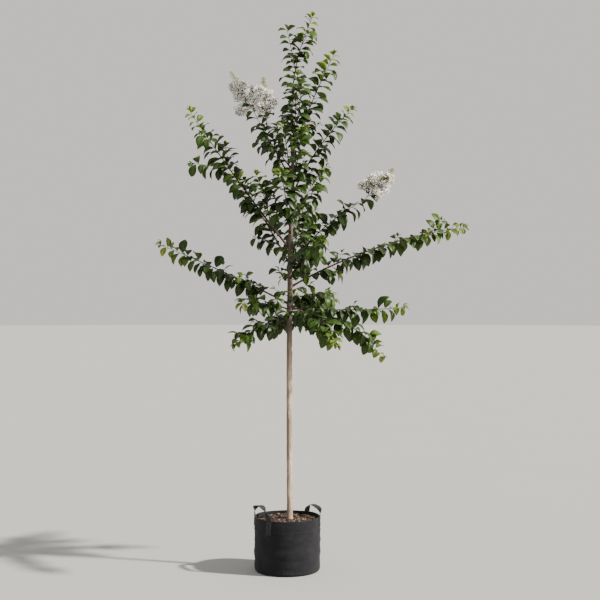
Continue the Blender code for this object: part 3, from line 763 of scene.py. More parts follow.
loops = {
    "bearings": {"left": 205.0, "right": 21.0},
    "halfSpread": 32.0,
    "width": 0.034,
    "thickness": 0.0024,
    "stand": 0.0006,          # clear of the felt
    "sewn": 0.075,            # how far an end goes down the wall
    "sewnShare": 0.40,        # of half the strap's length
    "rise": {"left": 0.064, "right": 0.047},
    "wave": 0.003,
    "along": 120,
    "across": 10,
    "edge": 0.0007,
    "boxes": ((0.006, 0.168), (0.994, 0.832)),     # the sewn boxes, along the strap
    "boxInset": 0.0028,
}


def loopFrame(share, side):
    # the point and the width's way of a loop, from one sewn end (0) to the other (1)
    mirror = 1.0 if share < 0.5 else -1.0
    run = min(share, 1.0 - share) * 2
    spread = math.radians(loops["halfSpread"])
    if run < loops["sewnShare"]:
        z = pot["height"] - loops["sewn"] + loops["sewn"] * run / loops["sewnShare"]
        off, twist = spread, 0.0
    else:
        a = (run - loops["sewnShare"]) / (1.0 - loops["sewnShare"]) * math.pi / 2
        z = pot["height"] + loops["rise"][side] * math.sin(a)
        off = spread * max(0.0, math.cos(a)) ** 0.8
        twist = math.sin(a) ** 2
    bearing = math.radians(loops["bearings"][side]) - mirror * off
    radial = Vector((math.cos(bearing), math.sin(bearing), 0.0))
    tangential = Vector((-radial.y, radial.x, 0.0))
    stand = plainWall(z) + loops["stand"] + loops["thickness"] / 2 + pot["hemLift"]
    chord = pot["radius"] * math.cos(spread)
    inward = (stand - chord / max(0.2, math.cos(off))) * twist * 0.75
    point = radial * (stand - inward) + up * z
    width = (tangential * mirror * (1.0 - twist) - radial * twist).normalized()
    return point, width


def strapPoint(share, offset, side):
    # offset runs from -0.5 to 0.5 over the width
    point, width = loopFrame(share, side)
    place = point + width * offset * loops["width"]
    if place.z < pot["height"] - 0.001:
        bearing = math.atan2(place.y, place.x)
        place = wallPlace(bearing, place.z, loops["stand"] + loops["thickness"] / 2)
    else:
        arch = math.sin(math.pi * within((share - 0.2) / 0.6))
        place += up * (rippled(share * 5.0, loops["bearings"][side], 0.0) * loops["wave"] * arch)
    return place


def makeLoop(side, material):
    deselectAll()
    bpy.ops.mesh.primitive_grid_add(x_subdivisions=loops["along"], y_subdivisions=loops["across"],
                                    size=1.0)
    strap = startPiece("loopWebbing_" + side)
    strap.data.uv_layers[0].name = "UVMap"
    points = getPoints(strap)
    for i, (x, y, z) in enumerate(points):
        points[i] = strapPoint(x + 0.5, y, side)
    setPoints(strap, points)
    faceOutwards(strap)
    thick = strap.modifiers.new("thickness", "SOLIDIFY")
    thick.thickness = loops["thickness"]
    thick.offset = 0.0
    edge = strap.modifiers.new("edge", "BEVEL")
    edge.width = loops["edge"]
    edge.segments = 2
    edge.angle_limit = math.radians(50)
    applyAll(strap)
    strap.data.materials.append(material)
    finishPiece(strap, ["loop_" + side])


def makeLoopStitches(material):
    # a sewn box at each end of each loop, just inside its edges
    pile = Pile()
    half = 0.5 - loops["boxInset"] / loops["width"]
    for side in loops["bearings"]:
        for low, high in loops["boxes"]:
            corners = [(low, -half), (high, -half), (high, half), (low, half)]
            for (s0, w0), (s1, w1) in zip(corners, corners[1:] + corners[:1]):
                run = (strapPoint(s1, w1, side) - strapPoint(s0, w0, side)).length
                count = max(2, round(run / (stitch["length"] + stitch["gap"] * 0.6)))
                for k in range(count):
                    ends = (k / count, (k + 0.78) / count)
                    p, q = (strapPoint(s0 + (s1 - s0) * t, w0 + (w1 - w0) * t, side) for t in ends)
                    out = Vector((p.x, p.y, 0.0)).normalized()
                    lift = out * (loops["thickness"] / 2 + 0.0002)
                    addStitch(pile, p + lift, q + lift, out)
    finishPile(pile, "loopStitches", material)


# Compost: a lumpy top inside the bag, strewn with chips of composted bark

compost = {
    "top": 0.2725,
    "depth": 0.060,
    "clear": 0.0078,          # inside the bag's outside
    "insets": 30,
    "lump": 0.0042,
    "crumb": 0.0018,
    "mound": 0.004,           # round the trunk's foot
    "dip": 0.0045,            # at the bag's wall
    "chips": 1150,
    "kinds": {"chipsBrown": 0.59, "chipsRed": 0.27, "chipsPale": 0.14},
    "chipLength": (0.006, 0.026),
    "chipWidth": (0.30, 0.65),          # against the length
    "chipThickness": (0.0016, 0.0046),
    "seed": 41,
}
trunkFoot = Vector((0.013, 0.0, 0.0))


def compostHeight(x, y):
    lumps = rippled(x * 38.0, y * 38.0, 1.0) * compost["lump"]
    lumps += rippled(x * 110.0, y * 110.0, 2.0) * compost["crumb"]
    mound = compost["mound"] * math.exp(-((x - trunkFoot.x) ** 2 + (y - trunkFoot.y) ** 2) / 0.0016)
    edge = -compost["dip"] * max(0.0, (math.hypot(x, y) - 0.12) / 0.05)
    return compost["top"] + lumps + mound + edge


def makeCompost(material):
    deselectAll()
    radius = pot["radius"] - compost["clear"]
    middle = compost["top"] - compost["depth"] / 2
    bpy.ops.mesh.primitive_cylinder_add(vertices=120, radius=radius, depth=compost["depth"],
                                        location=(0, 0, middle), end_fill_type="NGON")
    earth = startPiece("compostTop")
    applyAll(earth)
    enterEdit("DESELECT")
    bpy.ops.mesh.select_mode(type="FACE")
    leaveEdit()
    for face in earth.data.polygons:
        face.select = face.normal.z > 0.9
    bpy.ops.object.mode_set(mode="EDIT")
    for k in range(compost["insets"]):
        bpy.ops.mesh.inset(thickness=radius / (compost["insets"] + 1.0) * 0.97)
    leaveEdit()
    points = getPoints(earth)
    for i, (x, y, z) in enumerate(points):
        if z > compost["top"] - 0.001:
            points[i][2] = compostHeight(x, y)
    setPoints(earth, points)
    faceOutwards(earth)
    earth.data.materials.append(material)
    finishPiece(earth, ["compost"])


def makeChips():
    rng = random.Random(compost["seed"])
    kinds = compost["kinds"]
    piles = {name: Pile() for name in kinds}
    limit = pot["radius"] - compost["clear"] - 0.003
    for number in range(compost["chips"]):
        length = rng.uniform(*compost["chipLength"]) * rng.uniform(0.5, 1.0)
        width, thick = length * rng.uniform(*compost["chipWidth"]), rng.uniform(*compost["chipThickness"])
        reach, bearing = math.sqrt(rng.random()) * (limit - length * 0.5), rng.uniform(0, math.tau)
        x, y = reach * math.cos(bearing), reach * math.sin(bearing)
        if math.hypot(x - trunkFoot.x, y - trunkFoot.y) < 0.021 + length * 0.3:
            continue
        tilt = Quaternion((rng.uniform(-1, 1), rng.uniform(-1, 1), 0.001), rng.uniform(0.0, 0.6))
        turn = tilt @ Quaternion(up, rng.uniform(0, math.tau))
        centre = Vector((x, y, compostHeight(x, y) + thick * 0.35 + rng.uniform(0.0, 0.0022)))
        points = []
        for station, swell in ((-0.5, 0.55), (-0.12, 1.0), (0.5, rng.uniform(0.35, 0.9))):
            for k in range(6):
                a = math.tau * k / 6 + 0.3
                wide = math.cos(a) * width / 2 * swell * rng.uniform(0.8, 1.15)
                tall = math.sin(a) * thick / 2 * (0.6 + 0.4 * swell) * rng.uniform(0.75, 1.2)
                far = station * length * rng.uniform(0.9, 1.1)
                points.append(centre + turn @ Vector((far, wide, tall)))
        faces = [tuple(range(5, -1, -1)), tuple(range(12, 18)), *ringFaces(0, 6), *ringFaces(6, 6)]
        piles[rng.choices(list(kinds), list(kinds.values()))[0]].add(points, faces)
    for name, pile in piles.items():
        finishPile(pile, name, chipFinish(name), smooth=False)


# The tree's plan, in the same numbers as its solids

tree = {
    "ground": 0.2725,         # the compost's level
    "top": 2.31,              # where the trunk ends and its leader goes on
    "radius": 0.0150,
    "tipRadius": 0.0055,
    "taper": 4.0,
    "flare": 0.0030,
    "flareHeight": 0.025,
    "sway": 0.0030,
    "lean": 0.021,
    "gap": 0.0003,            # between one solid and the next
    "shootTip": 0.0010,
    "bendStep": 0.075,
    "joint": 0.012,
    "steep": 0.66,            # the rise from which a shoot counts as upright
    "pairTurn": math.radians(38),
    "twigSpacing": 0.50,
    "twigReach": 0.15,
    "twigRadius": 0.0021,
    "sprayRadius": 0.0019,
    "headRadius": 0.0018,
}

# A limb: its parent and the distance up it, its bearing (0 is +X, 90 is +Y), its rise at the root and at
# the tip, its length, how much of that is bare, its radius at the root, and its set forks, each with its
# share of the leafy length, its bearing, its rise and its length
Limb = namedtuple("Limb", "parent at bearing rise tipRise length bare root forks")
limbs = {
    "low_left": ("trunk", 1.427, 172, 27, 22, 0.785, 0.150, 0.0052, ()),
    "lowest_left": ("trunk", 1.309, 197, 20, -56, 0.335, 0.050, 0.0042, ()),
    "front_left": ("trunk", 1.398, 231, 14, -4, 0.395, 0.070, 0.0042, ()),
    "low_right": ("trunk", 1.404, -12, -3, 4, 0.615, 0.060, 0.0050, ()),
    "droop_right": ("trunk", 1.352, 19, 14, -58, 0.615, 0.070, 0.0045, ()),
    "front_right": ("trunk", 1.382, -64, 10, -42, 0.575, 0.070, 0.0045, ()),
    "long_right": ("trunk", 1.518, 8, 30, 8, 1.025, 0.100, 0.0058, ((0.80, 40, 42, 0.11),)),
    "mid_right": ("trunk", 1.625, -10, 57, 27, 0.530, 0.100, 0.0052, ()),
    "front_low": ("trunk", 1.560, -70, 36, 6, 0.525, 0.080, 0.0048, ()),
    "upright_right": ("trunk", 1.696, 50, 85, 31, 0.565, 0.140, 0.0044, ()),
    "mid_left": ("trunk", 1.720, 190, 51, 56, 0.905, 0.215, 0.0062,
                 ((0.48, 190, 6, 0.20), (0.46, 150, 76, 0.14))),
    "mid_left_fork": ("mid_left", 0.170, 184, 80, 68, 0.275, 0.045, 0.0036, ()),
    "upper_left": ("trunk", 2.086, 155, 60, 59, 0.40, 0.100, 0.0050, ()),
    "upper_left_fork": ("trunk", 2.150, 214, 40, 68, 0.27, 0.070, 0.0036, ()),
    "upper_right": ("trunk", 2.006, -15, 66, 42, 0.565, 0.080, 0.0050, ()),
    "leader_side": ("trunk", 2.255, 15, 70, 63, 0.575, 0.050, 0.0040, ()),
    "front_mid": ("trunk", 1.800, -97, 46, 32, 0.475, 0.070, 0.0045, ()),
    "front_top": ("trunk", 1.965, -78, 58, 44, 0.455, 0.060, 0.0042, ()),
    "back_low": ("trunk", 1.340, 106, 12, -30, 0.435, 0.060, 0.0042, ()),
    "back_right": ("trunk", 1.452, 64, 10, -10, 0.575, 0.070, 0.0045, ()),
    "back_mid": ("trunk", 1.600, 81, 45, 32, 0.715, 0.080, 0.0052, ()),
    "back_left": ("trunk", 1.640, 126, 47, 43, 0.775, 0.120, 0.0055, ()),
    "front_upper": ("trunk", 2.190, -82, 68, 64, 0.470, 0.055, 0.0038, ()),
    "back_upper": ("trunk", 2.215, 76, 66, 64, 0.500, 0.050, 0.0038, ()),
    "back_top": ("trunk", 2.060, 101, 58, 48, 0.475, 0.060, 0.0042, ()),
    "leader": ("trunk", 2.31, 8, 98, 64, 0.685, 0.0, 0.0050, ((0.56, 170, 78, 0.22),)),
}
limbs = {name: Limb(*numbers) for name, numbers in limbs.items()}

# Flower heads on the tips of shoots: rise at the root, rise at the tip, length
heads = {
    "upper_left": (60, 57, 0.325),
    "upper_left_fork": (82, 88, 0.260),
    "mid_right": (44, 48, 0.235),
}

# Short sprays of leaves straight from the trunk: height, bearing, rise, length
sprays = (
    (1.462, 186, 42, 0.095),
    (1.497, 4, 26, 0.115),
    (1.368, -96, 18, 0.090),
    (1.450, -72, 34, 0.075),
    (1.540, -118, 30, 0.085),
    (1.618, -36, 38, 0.080),
    (1.664, -110, 44, 0.080),
    (1.580, 150, 30, 0.075),
    (1.556, -26, 14, 0.100),
    (1.478, 24, -6, 0.085),
    (1.412, 20, 22, 0.080),
)


def direction(bearing, rise):
    a, e = math.radians(bearing), math.radians(rise)
    return Vector((math.cos(e) * math.cos(a), math.cos(e) * math.sin(a), math.sin(e)))


class Line:
    # points along the middle of a limb, stem or twig, with a radius that tapers evenly

    def __init__(self, points, rootRadius, tipRadius):
        self.points = [Vector(p) for p in points]
        self.reach = [0.0]
        for a, b in zip(self.points, self.points[1:]):
            self.reach.append(self.reach[-1] + (b - a).length)
        self.length = self.reach[-1]
        self.rootRadius, self.tipRadius = rootRadius, tipRadius

    def radius(self, distance):
        return self.rootRadius + (self.tipRadius - self.rootRadius) * within(distance / self.length)

    def at(self, distance):
        # the point and the way at a distance from the root
        distance = within(distance, 0.0, self.length)
        for i in range(len(self.points) - 1):
            if distance <= self.reach[i + 1] or i == len(self.points) - 2:
                run = self.points[i + 1] - self.points[i]
                share = (distance - self.reach[i]) / run.length
                return self.points[i] + run * share, run.normalized()

    def part(self, start, end):
        # the stretch of this line between two distances from its root
        inner = [p for p, s in zip(self.points, self.reach) if start + 1e-5 < s < end - 1e-5]
        return Line([self.at(start)[0], *inner, self.at(end)[0]], self.radius(start), self.radius(end))


def bentPath(start, bearing, rise, tipRise, length, breaks=()):
    # points from start that bend evenly from the first rise to the last, straight across each break
    count = max(3, round(length / tree["bendStep"]))
    marks = [length * (i / count) for i in range(count + 1)]
    for place in breaks:
        marks = [m for m in marks if abs(m - place) > tree["joint"] or m in (0.0, length)]
        marks += [place - tree["joint"], place + tree["joint"]]
    marks = sorted(m for m in marks if 0.0 <= m <= length)
    point = Vector(start)
    points = [point.copy()]
    for a, b in zip(marks, marks[1:]):
        share = (a + b) / 2 / length
        point = point + direction(bearing, rise + (tipRise - rise) * share) * (b - a)
        points.append(point.copy())
    return points


def trunkCentre(z):
    share = (z - tree["ground"]) / (tree["top"] - tree["ground"])
    sway = tree["sway"] * math.sin(math.pi * share)
    return Vector((trunkFoot.x - sway + tree["lean"] * max(0.0, share)**4, trunkFoot.y + sway, z))


def trunkRadius(z):
    share = max(0.0, (z - tree["ground"]) / (tree["top"] - tree["ground"]))
    taper = (tree["radius"] - tree["tipRadius"]) * share**tree["taper"]
    return tree["radius"] - taper + tree["flare"] * math.exp(-(z - tree["ground"]) / tree["flareHeight"])


def trunkTip():
    # the last short straight run of the trunk, as the solids have it
    base = tree["ground"] + tree["gap"] + 0.10
    step = (tree["top"] - base) / 14
    ends = trunkCentre(tree["top"] - step), trunkCentre(tree["top"])
    return Line(ends, tree["tipRadius"], tree["tipRadius"])


def carryOn(line, bearing, rise, tipRise, length):
    # points that go on from the tip of a line, straight at first
    tip, along = line.at(line.length)
    start = tip + along * tree["gap"]
    points = bentPath(start + along * tree["joint"], bearing, rise, tipRise, length - tree["joint"])
    return [start, *points]


def planLimbs():
    lines = {}
    for name, limb in limbs.items():
        course = limb.bearing, limb.rise, limb.tipRise, limb.length
        if limb.at == tree["top"]:
            points = carryOn(trunkTip(), *course)
        elif limb.parent == "trunk":
            points = bentPath(trunkCentre(limb.at), *course, (limb.bare,))
        else:
            points = bentPath(lines[limb.parent].at(limb.at)[0], *course, (limb.bare,))
        lines[name] = Line(points, limb.root, tree["shootTip"])
    return lines


def planSprays():
    made = []
    for height, bearing, rise, length in sprays:
        points = bentPath(trunkCentre(height), bearing, rise, rise * 0.4, length)
        line = Line(points, tree["sprayRadius"], tree["shootTip"])
        made.append(line.part(trunkRadius(height) * 0.6, line.length))
    return made


def planHeads(lines):
    made = {}
    for name, (rise, tipRise, length) in heads.items():
        points = carryOn(lines[name], limbs[name].bearing, rise, tipRise, length)
        made[name] = Line(points, tree["headRadius"], tree["shootTip"])
    return made


def bareWood(lines):
    return [lines[name].part(0.0, limb.bare) for name, limb in limbs.items() if limb.bare > 0.0]


def leafyStems(lines):
    # what lies beyond each limb's bare wood
    stems = {}
    for name, limb in limbs.items():
        start = limb.bare + tree["gap"] if limb.bare else 0.0
        stems[name] = lines[name].part(start, lines[name].length)
    return stems


class Room:
    # the space of one mass: nearer to its own stem than to any other, and clear of the bare wood

    def __init__(self, own, others, bare, clearance):
        self.own = self.runs([own])
        self.others = self.runs(others)
        self.bare = self.runs(bare)
        self.bareRadius = np.concatenate([[line.rootRadius] * (len(line.points) - 1) for line in bare])
        self.clearance = clearance

    @staticmethod
    def runs(lines):
        starts = np.array([tuple(p) for line in lines for p in line.points[:-1]])
        ends = np.array([tuple(p) for line in lines for p in line.points[1:]])
        return starts, ends - starts

    @staticmethod
    def distances(points, runs):
        a, run = runs
        share = np.einsum("pki,ki->pk", points[:, None] - a[None], run) / np.einsum("ki,ki->k", run, run)
        foot = a[None] + np.clip(share, 0, 1)[..., None] * run[None]
        return np.linalg.norm(points[:, None] - foot, axis=2)

    def holds(self, points):
        p = np.array([tuple(v) for v in points])
        own = self.distances(p, self.own).min(axis=1)
        if (self.distances(p, self.others).min(axis=1) < own + self.clearance).any():
            return False
        if (self.distances(p, self.bare) - self.bareRadius[None]).min() < self.clearance:
            return False
        for v in points:
            centre = trunkCentre(min(v.z, tree["top"]))
            if (v - centre).length - trunkRadius(centre.z) < self.clearance:
                return False
        return True


def sideOf(tangent, turn):
    # level on a flat shoot, and in the plane that faces the viewer on a steep one
    if abs(tangent.z) < tree["steep"]:
        side = tangent.cross(up)
    else:
        side = across - tangent * across.dot(tangent)
    return Quaternion(tangent, turn) @ side.normalized()


# Trunk: a ring drawn up the tree, cut into many rings, then given its bark relief in code

trunk = {
    "sides": 56,
    "draws": 17,
    "cuts": 25,
    "sunk": 0.014,            # how far the foot goes down into the compost
    "over": 0.004,            # how far the end goes up into the leader
    "flutes": 0.030,
    "footFlutes": 0.03,
    "swells": 0.0012,
    "lumps": 0.00075,
    "streaks": 0.00032,
    "knots": 26,
    "knotsFrom": 0.07,        # above the compost
    "knotSize": (0.0035, 0.0075),
    "knotRise": 0.0017,
    "collarSize": 0.014,
    "collarRise": 0.0030,
    "collarDark": 0.35,
    "seed": 12,
}


def planKnots():
    # small healed scars all the way up, and a collar at each limb: height, bearing, size, rise, darkness
    rng = random.Random(trunk["seed"])
    knots = []
    bearing = rng.uniform(0, math.tau)
    for k in range(trunk["knots"]):
        share = (k + rng.uniform(0.1, 0.9)) / trunk["knots"]
        bearing += goldenAngle * rng.uniform(0.8, 1.2)
        z = tree["ground"] + trunk["knotsFrom"] + (tree["top"] - tree["ground"] - 0.12) * share
        size = rng.uniform(*trunk["knotSize"])
        knots.append((z, bearing, size, trunk["knotRise"] * rng.uniform(0.5, 1.2), 1.0))
    collar = trunk["collarSize"], trunk["collarRise"], trunk["collarDark"]
    for limb in limbs.values():
        if limb.parent == "trunk" and limb.at < tree["top"]:
            knots.append((limb.at + 0.004, math.radians(limb.bearing), *collar))
    return knots


def drawTrunk(bottom, radius):
    # in edit mode: the ring is drawn up the trunk's line in long steps
    rise = tree["top"] + trunk["over"] - bottom
    heights = [bottom + rise * k / trunk["draws"] for k in range(trunk["draws"] + 1)]
    for low, high in zip(heights, heights[1:]):
        middle = trunkCentre(high)
        shift = middle - trunkCentre(low)
        bpy.ops.mesh.extrude_edges_move(TRANSFORM_OT_translate={"value": (shift.x, shift.y, high - low)})
        share = trunkRadius(high) / radius if high > tree["ground"] else 1.0
        bpy.ops.transform.resize(value=(share, share, 1.0), center_override=(middle.x, middle.y, high))
        radius *= share


def barkRelief(x, y, z, knots):
    # where a point of the plain trunk goes, and how dark it is as part of a knot
    middle = trunkCentre(z)
    a = math.atan2(y - middle.y, x - middle.x)
    c, s = math.cos(a), math.sin(a)
    girth = trunkRadius(max(z, tree["ground"]))
    thin = girth / tree["radius"]
    foot = math.exp(-max(0.0, z - tree["ground"]) / 0.03)
    flute = math.sin(2 * a + z * 2.1) * 0.5 + math.sin(3 * a - z * 3.3 + 1.0) * 0.3
    reach = girth * (1.0 + trunk["flutes"] * flute + trunk["footFlutes"] * foot * math.sin(5 * a + 0.8))
    reach += rippled(c * 1.2, s * 1.2, z * 9.0) * trunk["swells"]
    reach += rippled(c * 4.0, s * 4.0, z * 26.0) * trunk["lumps"] * thin
    reach += rippled(c * 15.0, s * 15.0, z * 11.0) * trunk["streaks"] * thin
    painted = 0.0
    for height, bearing, size, rise, dark in knots:
        if abs(z - height) < size * 3:
            turn = (a - bearing + math.pi) % math.tau - math.pi
            off = math.hypot(turn * girth, z - height) / size
            if off < 3:
                reach += rise * (math.exp(-off * off) - 0.75 * dark * math.exp(-off * off / 0.12))
                painted = max(painted, dark * math.exp(-off * off / 0.45))
    return (middle.x + reach * c, middle.y + reach * s, z), painted


def makeTrunk(material):
    deselectAll()
    bottom = tree["ground"] - trunk["sunk"]
    centre = trunkCentre(tree["ground"])
    radius = tree["radius"] + tree["flare"]
    bpy.ops.mesh.primitive_circle_add(vertices=trunk["sides"], radius=radius, fill_type="NOTHING",
                                      location=(centre.x, centre.y, bottom))
    bark = startPiece("trunkBark")
    applyAll(bark)
    enterEdit()
    drawTrunk(bottom, radius)
    leaveEdit()
    mesh = bark.data
    for edge in mesh.edges:
        a, b = (mesh.vertices[i].co.z for i in edge.vertices)
        edge.select = abs(a - b) > 0.01
    for vertex in mesh.vertices:
        vertex.select = False
    bpy.ops.object.mode_set(mode="EDIT")
    bpy.ops.mesh.select_mode(type="EDGE")
    bpy.ops.mesh.subdivide(number_cuts=trunk["cuts"])
    bpy.ops.mesh.select_all(action="DESELECT")
    bpy.ops.mesh.select_non_manifold()
    bpy.ops.mesh.edge_face_add()
    leaveEdit()
    knots = planKnots()
    points = getPoints(bark)
    painted = np.zeros(len(points))
    for i, (x, y, z) in enumerate(points):
        points[i], painted[i] = barkRelief(x, y, z, knots)
    setPoints(bark, points)
    layer = mesh.attributes.new("knot", "FLOAT", "POINT")
    layer.data.foreach_set("value", painted.astype(np.float32))
    faceOutwards(bark)
    bark.data.materials.append(material)
    finishPiece(bark, ["trunk"])


# Wood of the boughs, shoots and twigs: tapering tubes with swollen joints, many in one joined mesh

wood = {
    "boughSides": 16,
    "shootSides": 8,
    "twigSides": 6,
    "ringStep": 0.0075,
    "boughStep": 0.004,
    "boughEnd": 0.012,        # how far a bough's mesh goes on inside its shoot
    "fineStep": 0.010,
    "easing": 0.030,          # over what length a corner is rounded
    "boughJoints": 0.046,     # from one swollen joint to the next
    "twigJoints": 0.034,
    "jointSwell": 0.16,
    "jointLength": 0.0035,
    "trunkCollar": 0.0032,    # the swelling where a bough leaves the trunk
    "boughCollar": 0.0015,
    "sprayCollar": 0.001,
    "collarLength": 0.011,
    "roughness": 0.10,
}


def smoothLine(line, step):
    # points at even steps along a line, with its corners rounded
    count = max(3, round(line.length / step))
    marks = [line.length * k / count for k in range(count + 1)]
    points = []
    for mark in marks:
        room = min(wood["easing"], mark, line.length - mark)
        spots = [line.at(mark + room * t)[0] for t in (-1.0, -0.5, 0.0, 0.5, 1.0)]
        points.append(sum(spots, Vector()) / len(spots))
    return marks, points


def addTube(pile, line, sides, step, collar=0.0, collarAt=0.0, joints=0.0, seed=0.0):
    # collar is how much it swells up to collarAt, and joints how far apart its swollen joints are
    marks, points = smoothLine(line, step)
    tangents = [(b - a).normalized() for a, b in zip(points, points[1:])]
    tangents.append(tangents[-1])
    side = tangents[0].orthogonal().normalized()
    shape = []
    for mark, point, tangent in zip(marks, points, tangents):
        side = (side - tangent * side.dot(tangent)).normalized()
        other = tangent.cross(side)
        radius = line.radius(mark)
        if collar:
            radius += collar * math.exp(-max(0.0, mark - collarAt) / wood["collarLength"])
        if joints:
            phase = (mark / joints) % 1.0
            radius *= 1.0 + wood["jointSwell"] * bell((phase - 0.5) * joints, wood["jointLength"])
        for j in range(sides):
            a = math.tau * j / sides
            way = side * math.cos(a) + other * math.sin(a)
            bump = rippled(math.cos(a) * 1.3 + seed, math.sin(a) * 1.3, mark * 60.0)
            shape.append(point + way * radius * (1.0 + bump * wood["roughness"]))
    faces = []
    for k in range(len(marks) - 1):
        faces += ringFaces(k * sides, sides)
    tip = len(shape)
    shape.append(points[-1] + tangents[-1] * line.tipRadius * 0.8)
    last = tip - sides
    faces += [(last + j, last + (j + 1) % sides, tip) for j in range(sides)]
    faces.append(tuple(range(sides - 1, -1, -1)))
    pile.add(shape, faces)


def makeBoughs(lines, material):
    pile = Pile()
    nodes = []
    for number, (name, limb) in enumerate(limbs.items()):
        if limb.bare <= 0.0:
            continue
        if limb.parent == "trunk":
            inside, collar = trunkRadius(limb.at), wood["trunkCollar"]
            start = inside * 0.35
        else:
            inside, collar = lines[limb.parent].radius(limb.at), wood["boughCollar"]
            start = 0.0
        line = lines[name].part(start, limb.bare + wood["boughEnd"])
        addTube(pile, line, wood["boughSides"], wood["boughStep"], collar, inside - start,
                wood["boughJoints"], number * 3.7)
        nodes.append("bough_" + name)
    finishPile(pile, "boughBark", material, nodes)


# Leaf: a pointed oval on a short stalk, folded up along its midrib and arched so that its tip hangs

leaf = {
    "length": 0.086,
    "lengths": (0.84, 1.12),  # the range that it varies in
    "lengthened": 1.06,       # and what all are longer by
    "youngShare": 0.38,       # the size of the last leaves of a shoot, against the full size
    "youngFrom": 0.70,
    "pairSpacing": 0.0320,
    "steepSpacing": 1.08,     # pairs stand wider apart on upright shoots
    "clearance": 0.0008,
    "apart": 0.30,            # the least distance between two leaves, against a leaf's length
    "outline": ((0.0, 0.012), (0.045, 0.015), (0.13, 0.118), (0.27, 0.222), (0.46, 0.286),
                (0.64, 0.276), (0.80, 0.205), (0.93, 0.090)),
    "middle": Vector((0.44, 0.0, 0.17)),
    "widest": Vector((0.46, 0.30, 0.22)),
    "rib": 0.0090,
    "thickness": 0.0055,
    "crease": 0.012,          # the rise of the two lines of veins beside the rib
    "ripple": 0.010,          # the wave along each edge
    # how far it arches, folds and twists
    "kinds": ((0.14, 0.060, 0.010), (0.20, 0.085, -0.020), (0.25, 0.050, 0.015), (0.11, 0.110, 0.025)),
    # what is tried in turn where there is no room: length and further turn
    "tries": ((1.0, 0.0), (0.82, 0.0), (0.92, 1.0), (0.72, -1.0), (0.6, 0.4)),
    "shadeEdges": (0.50, 0.77, 0.940),
    "shadeNoise": 0.065,
}


def leafShape(arch, fold, twist):
    # a leaf of length 1 along +X; top faces, rib faces and underside take slots 0, 1 and 2
    points, corners, faces = [], [], []
    widest = max(half for share, half in leaf["outline"])
    for share, half in leaf["outline"]:
        rise = arch * 4.0 * share * (1.0 - share) * (1.15 - 0.3 * share)
        rib = min(leaf["rib"] * (1.15 - 0.6 * share), half * 0.45)
        for y in (-half, -half * 0.55, -rib, rib, half * 0.55, half):
            wave = math.sin(share * 19.0 + (2.0 if y > 0 else 0.0))
            lift = fold * (abs(y) / widest) ** 1.4
            lift += leaf["ripple"] * wave * (abs(y) / widest) ** 2
            lift += leaf["crease"] if abs(abs(y) - half * 0.55) < 1e-6 else 0.0
            points.append((share, y, rise + lift + twist * share * y * 6.0))
            corners.append((0.5 + y / widest / 2, share))
        points.append((share, 0.0, rise - leaf["thickness"] - min(0.006, half * 0.3)))
        corners.append((0.5, share))
    tip = len(points)
    points.append((1.0, 0.0, -0.012))
    corners.append((0.5, 1.0))
    last = len(leaf["outline"]) - 1
    for low in range(0, last * 7, 7):
        high = low + 7
        faces += [(low + j, high + j, high + j + 1, low + j + 1) for j in range(5)]
        faces += [(low, low + 6, high + 6, high), (low + 6, low + 5, high + 5, high + 6)]
    low = last * 7
    faces += [(low + j, tip, low + j + 1) for j in range(5)]
    faces += [(low, low + 6, tip), (low + 6, low + 5, tip)]
    slots = [0, 0, 1, 0, 0, 2, 2] * (last + 1) + [1]
    faces.append((0, 1, 2, 3, 4, 5, 6))
    return np.array(points), faces, slots, corners


def leafMatrix(root, out, length, light):
    # lays a leaf from its root along out, with its upper side to the light
    side = light.cross(out)
    if side.length < 1e-3:
        side = Vector((0.0, 1.0, 0.0))
    side.normalize()
    turn = Matrix((out, side, out.cross(side))).transposed()
    return Matrix.Translation(root) @ turn.to_4x4() @ Matrix.Scale(length, 4)


def leafEdge(matrix):
    # points along the outline and the middle of a leaf; its middle is the last
    middle, left = leaf["middle"], leaf["widest"]
    right = Vector((left.x, -left.y, left.z))
    root, tip = Vector(), across
    edges = [a.lerp(b, t) for a in (left, right) for b, t in ((root, 0.0), (root, 0.5), (tip, 0.45))]
    return [matrix @ p for p in (tip, tip.lerp(middle, 0.5), *edges, middle)]


def placeLeaf(line, distance, way, turn, droop, length, room, taken, rng):
    # the first leaf that fits at a node: as it would grow, or shorter, or turned further round
    point, tangent = line.at(distance)
    forward = rng.uniform(0.15, 0.45)
    hang = droop * rng.uniform(0.7, 1.3)
    light = (up + Vector((rng.uniform(-0.4, 0.4), rng.uniform(-1.1, 0.4), 0.0))).normalized()
    for scale, extra in leaf["tries"]:
        side = sideOf(tangent, turn + extra) * way
        out = (side * 0.85 + tangent * forward - up * hang).normalized()
        root = point + (side * 0.8).normalized() * line.radius(distance) * 0.7
        matrix = leafMatrix(root, out, length * scale, light)
        edge = leafEdge(matrix)
        middle = edge[-1]
        near = any((middle - other).length < leaf["apart"] * length * scale for other in taken)
        if not near and room.holds(edge):
            taken.append(middle)
            return matrix
    return None


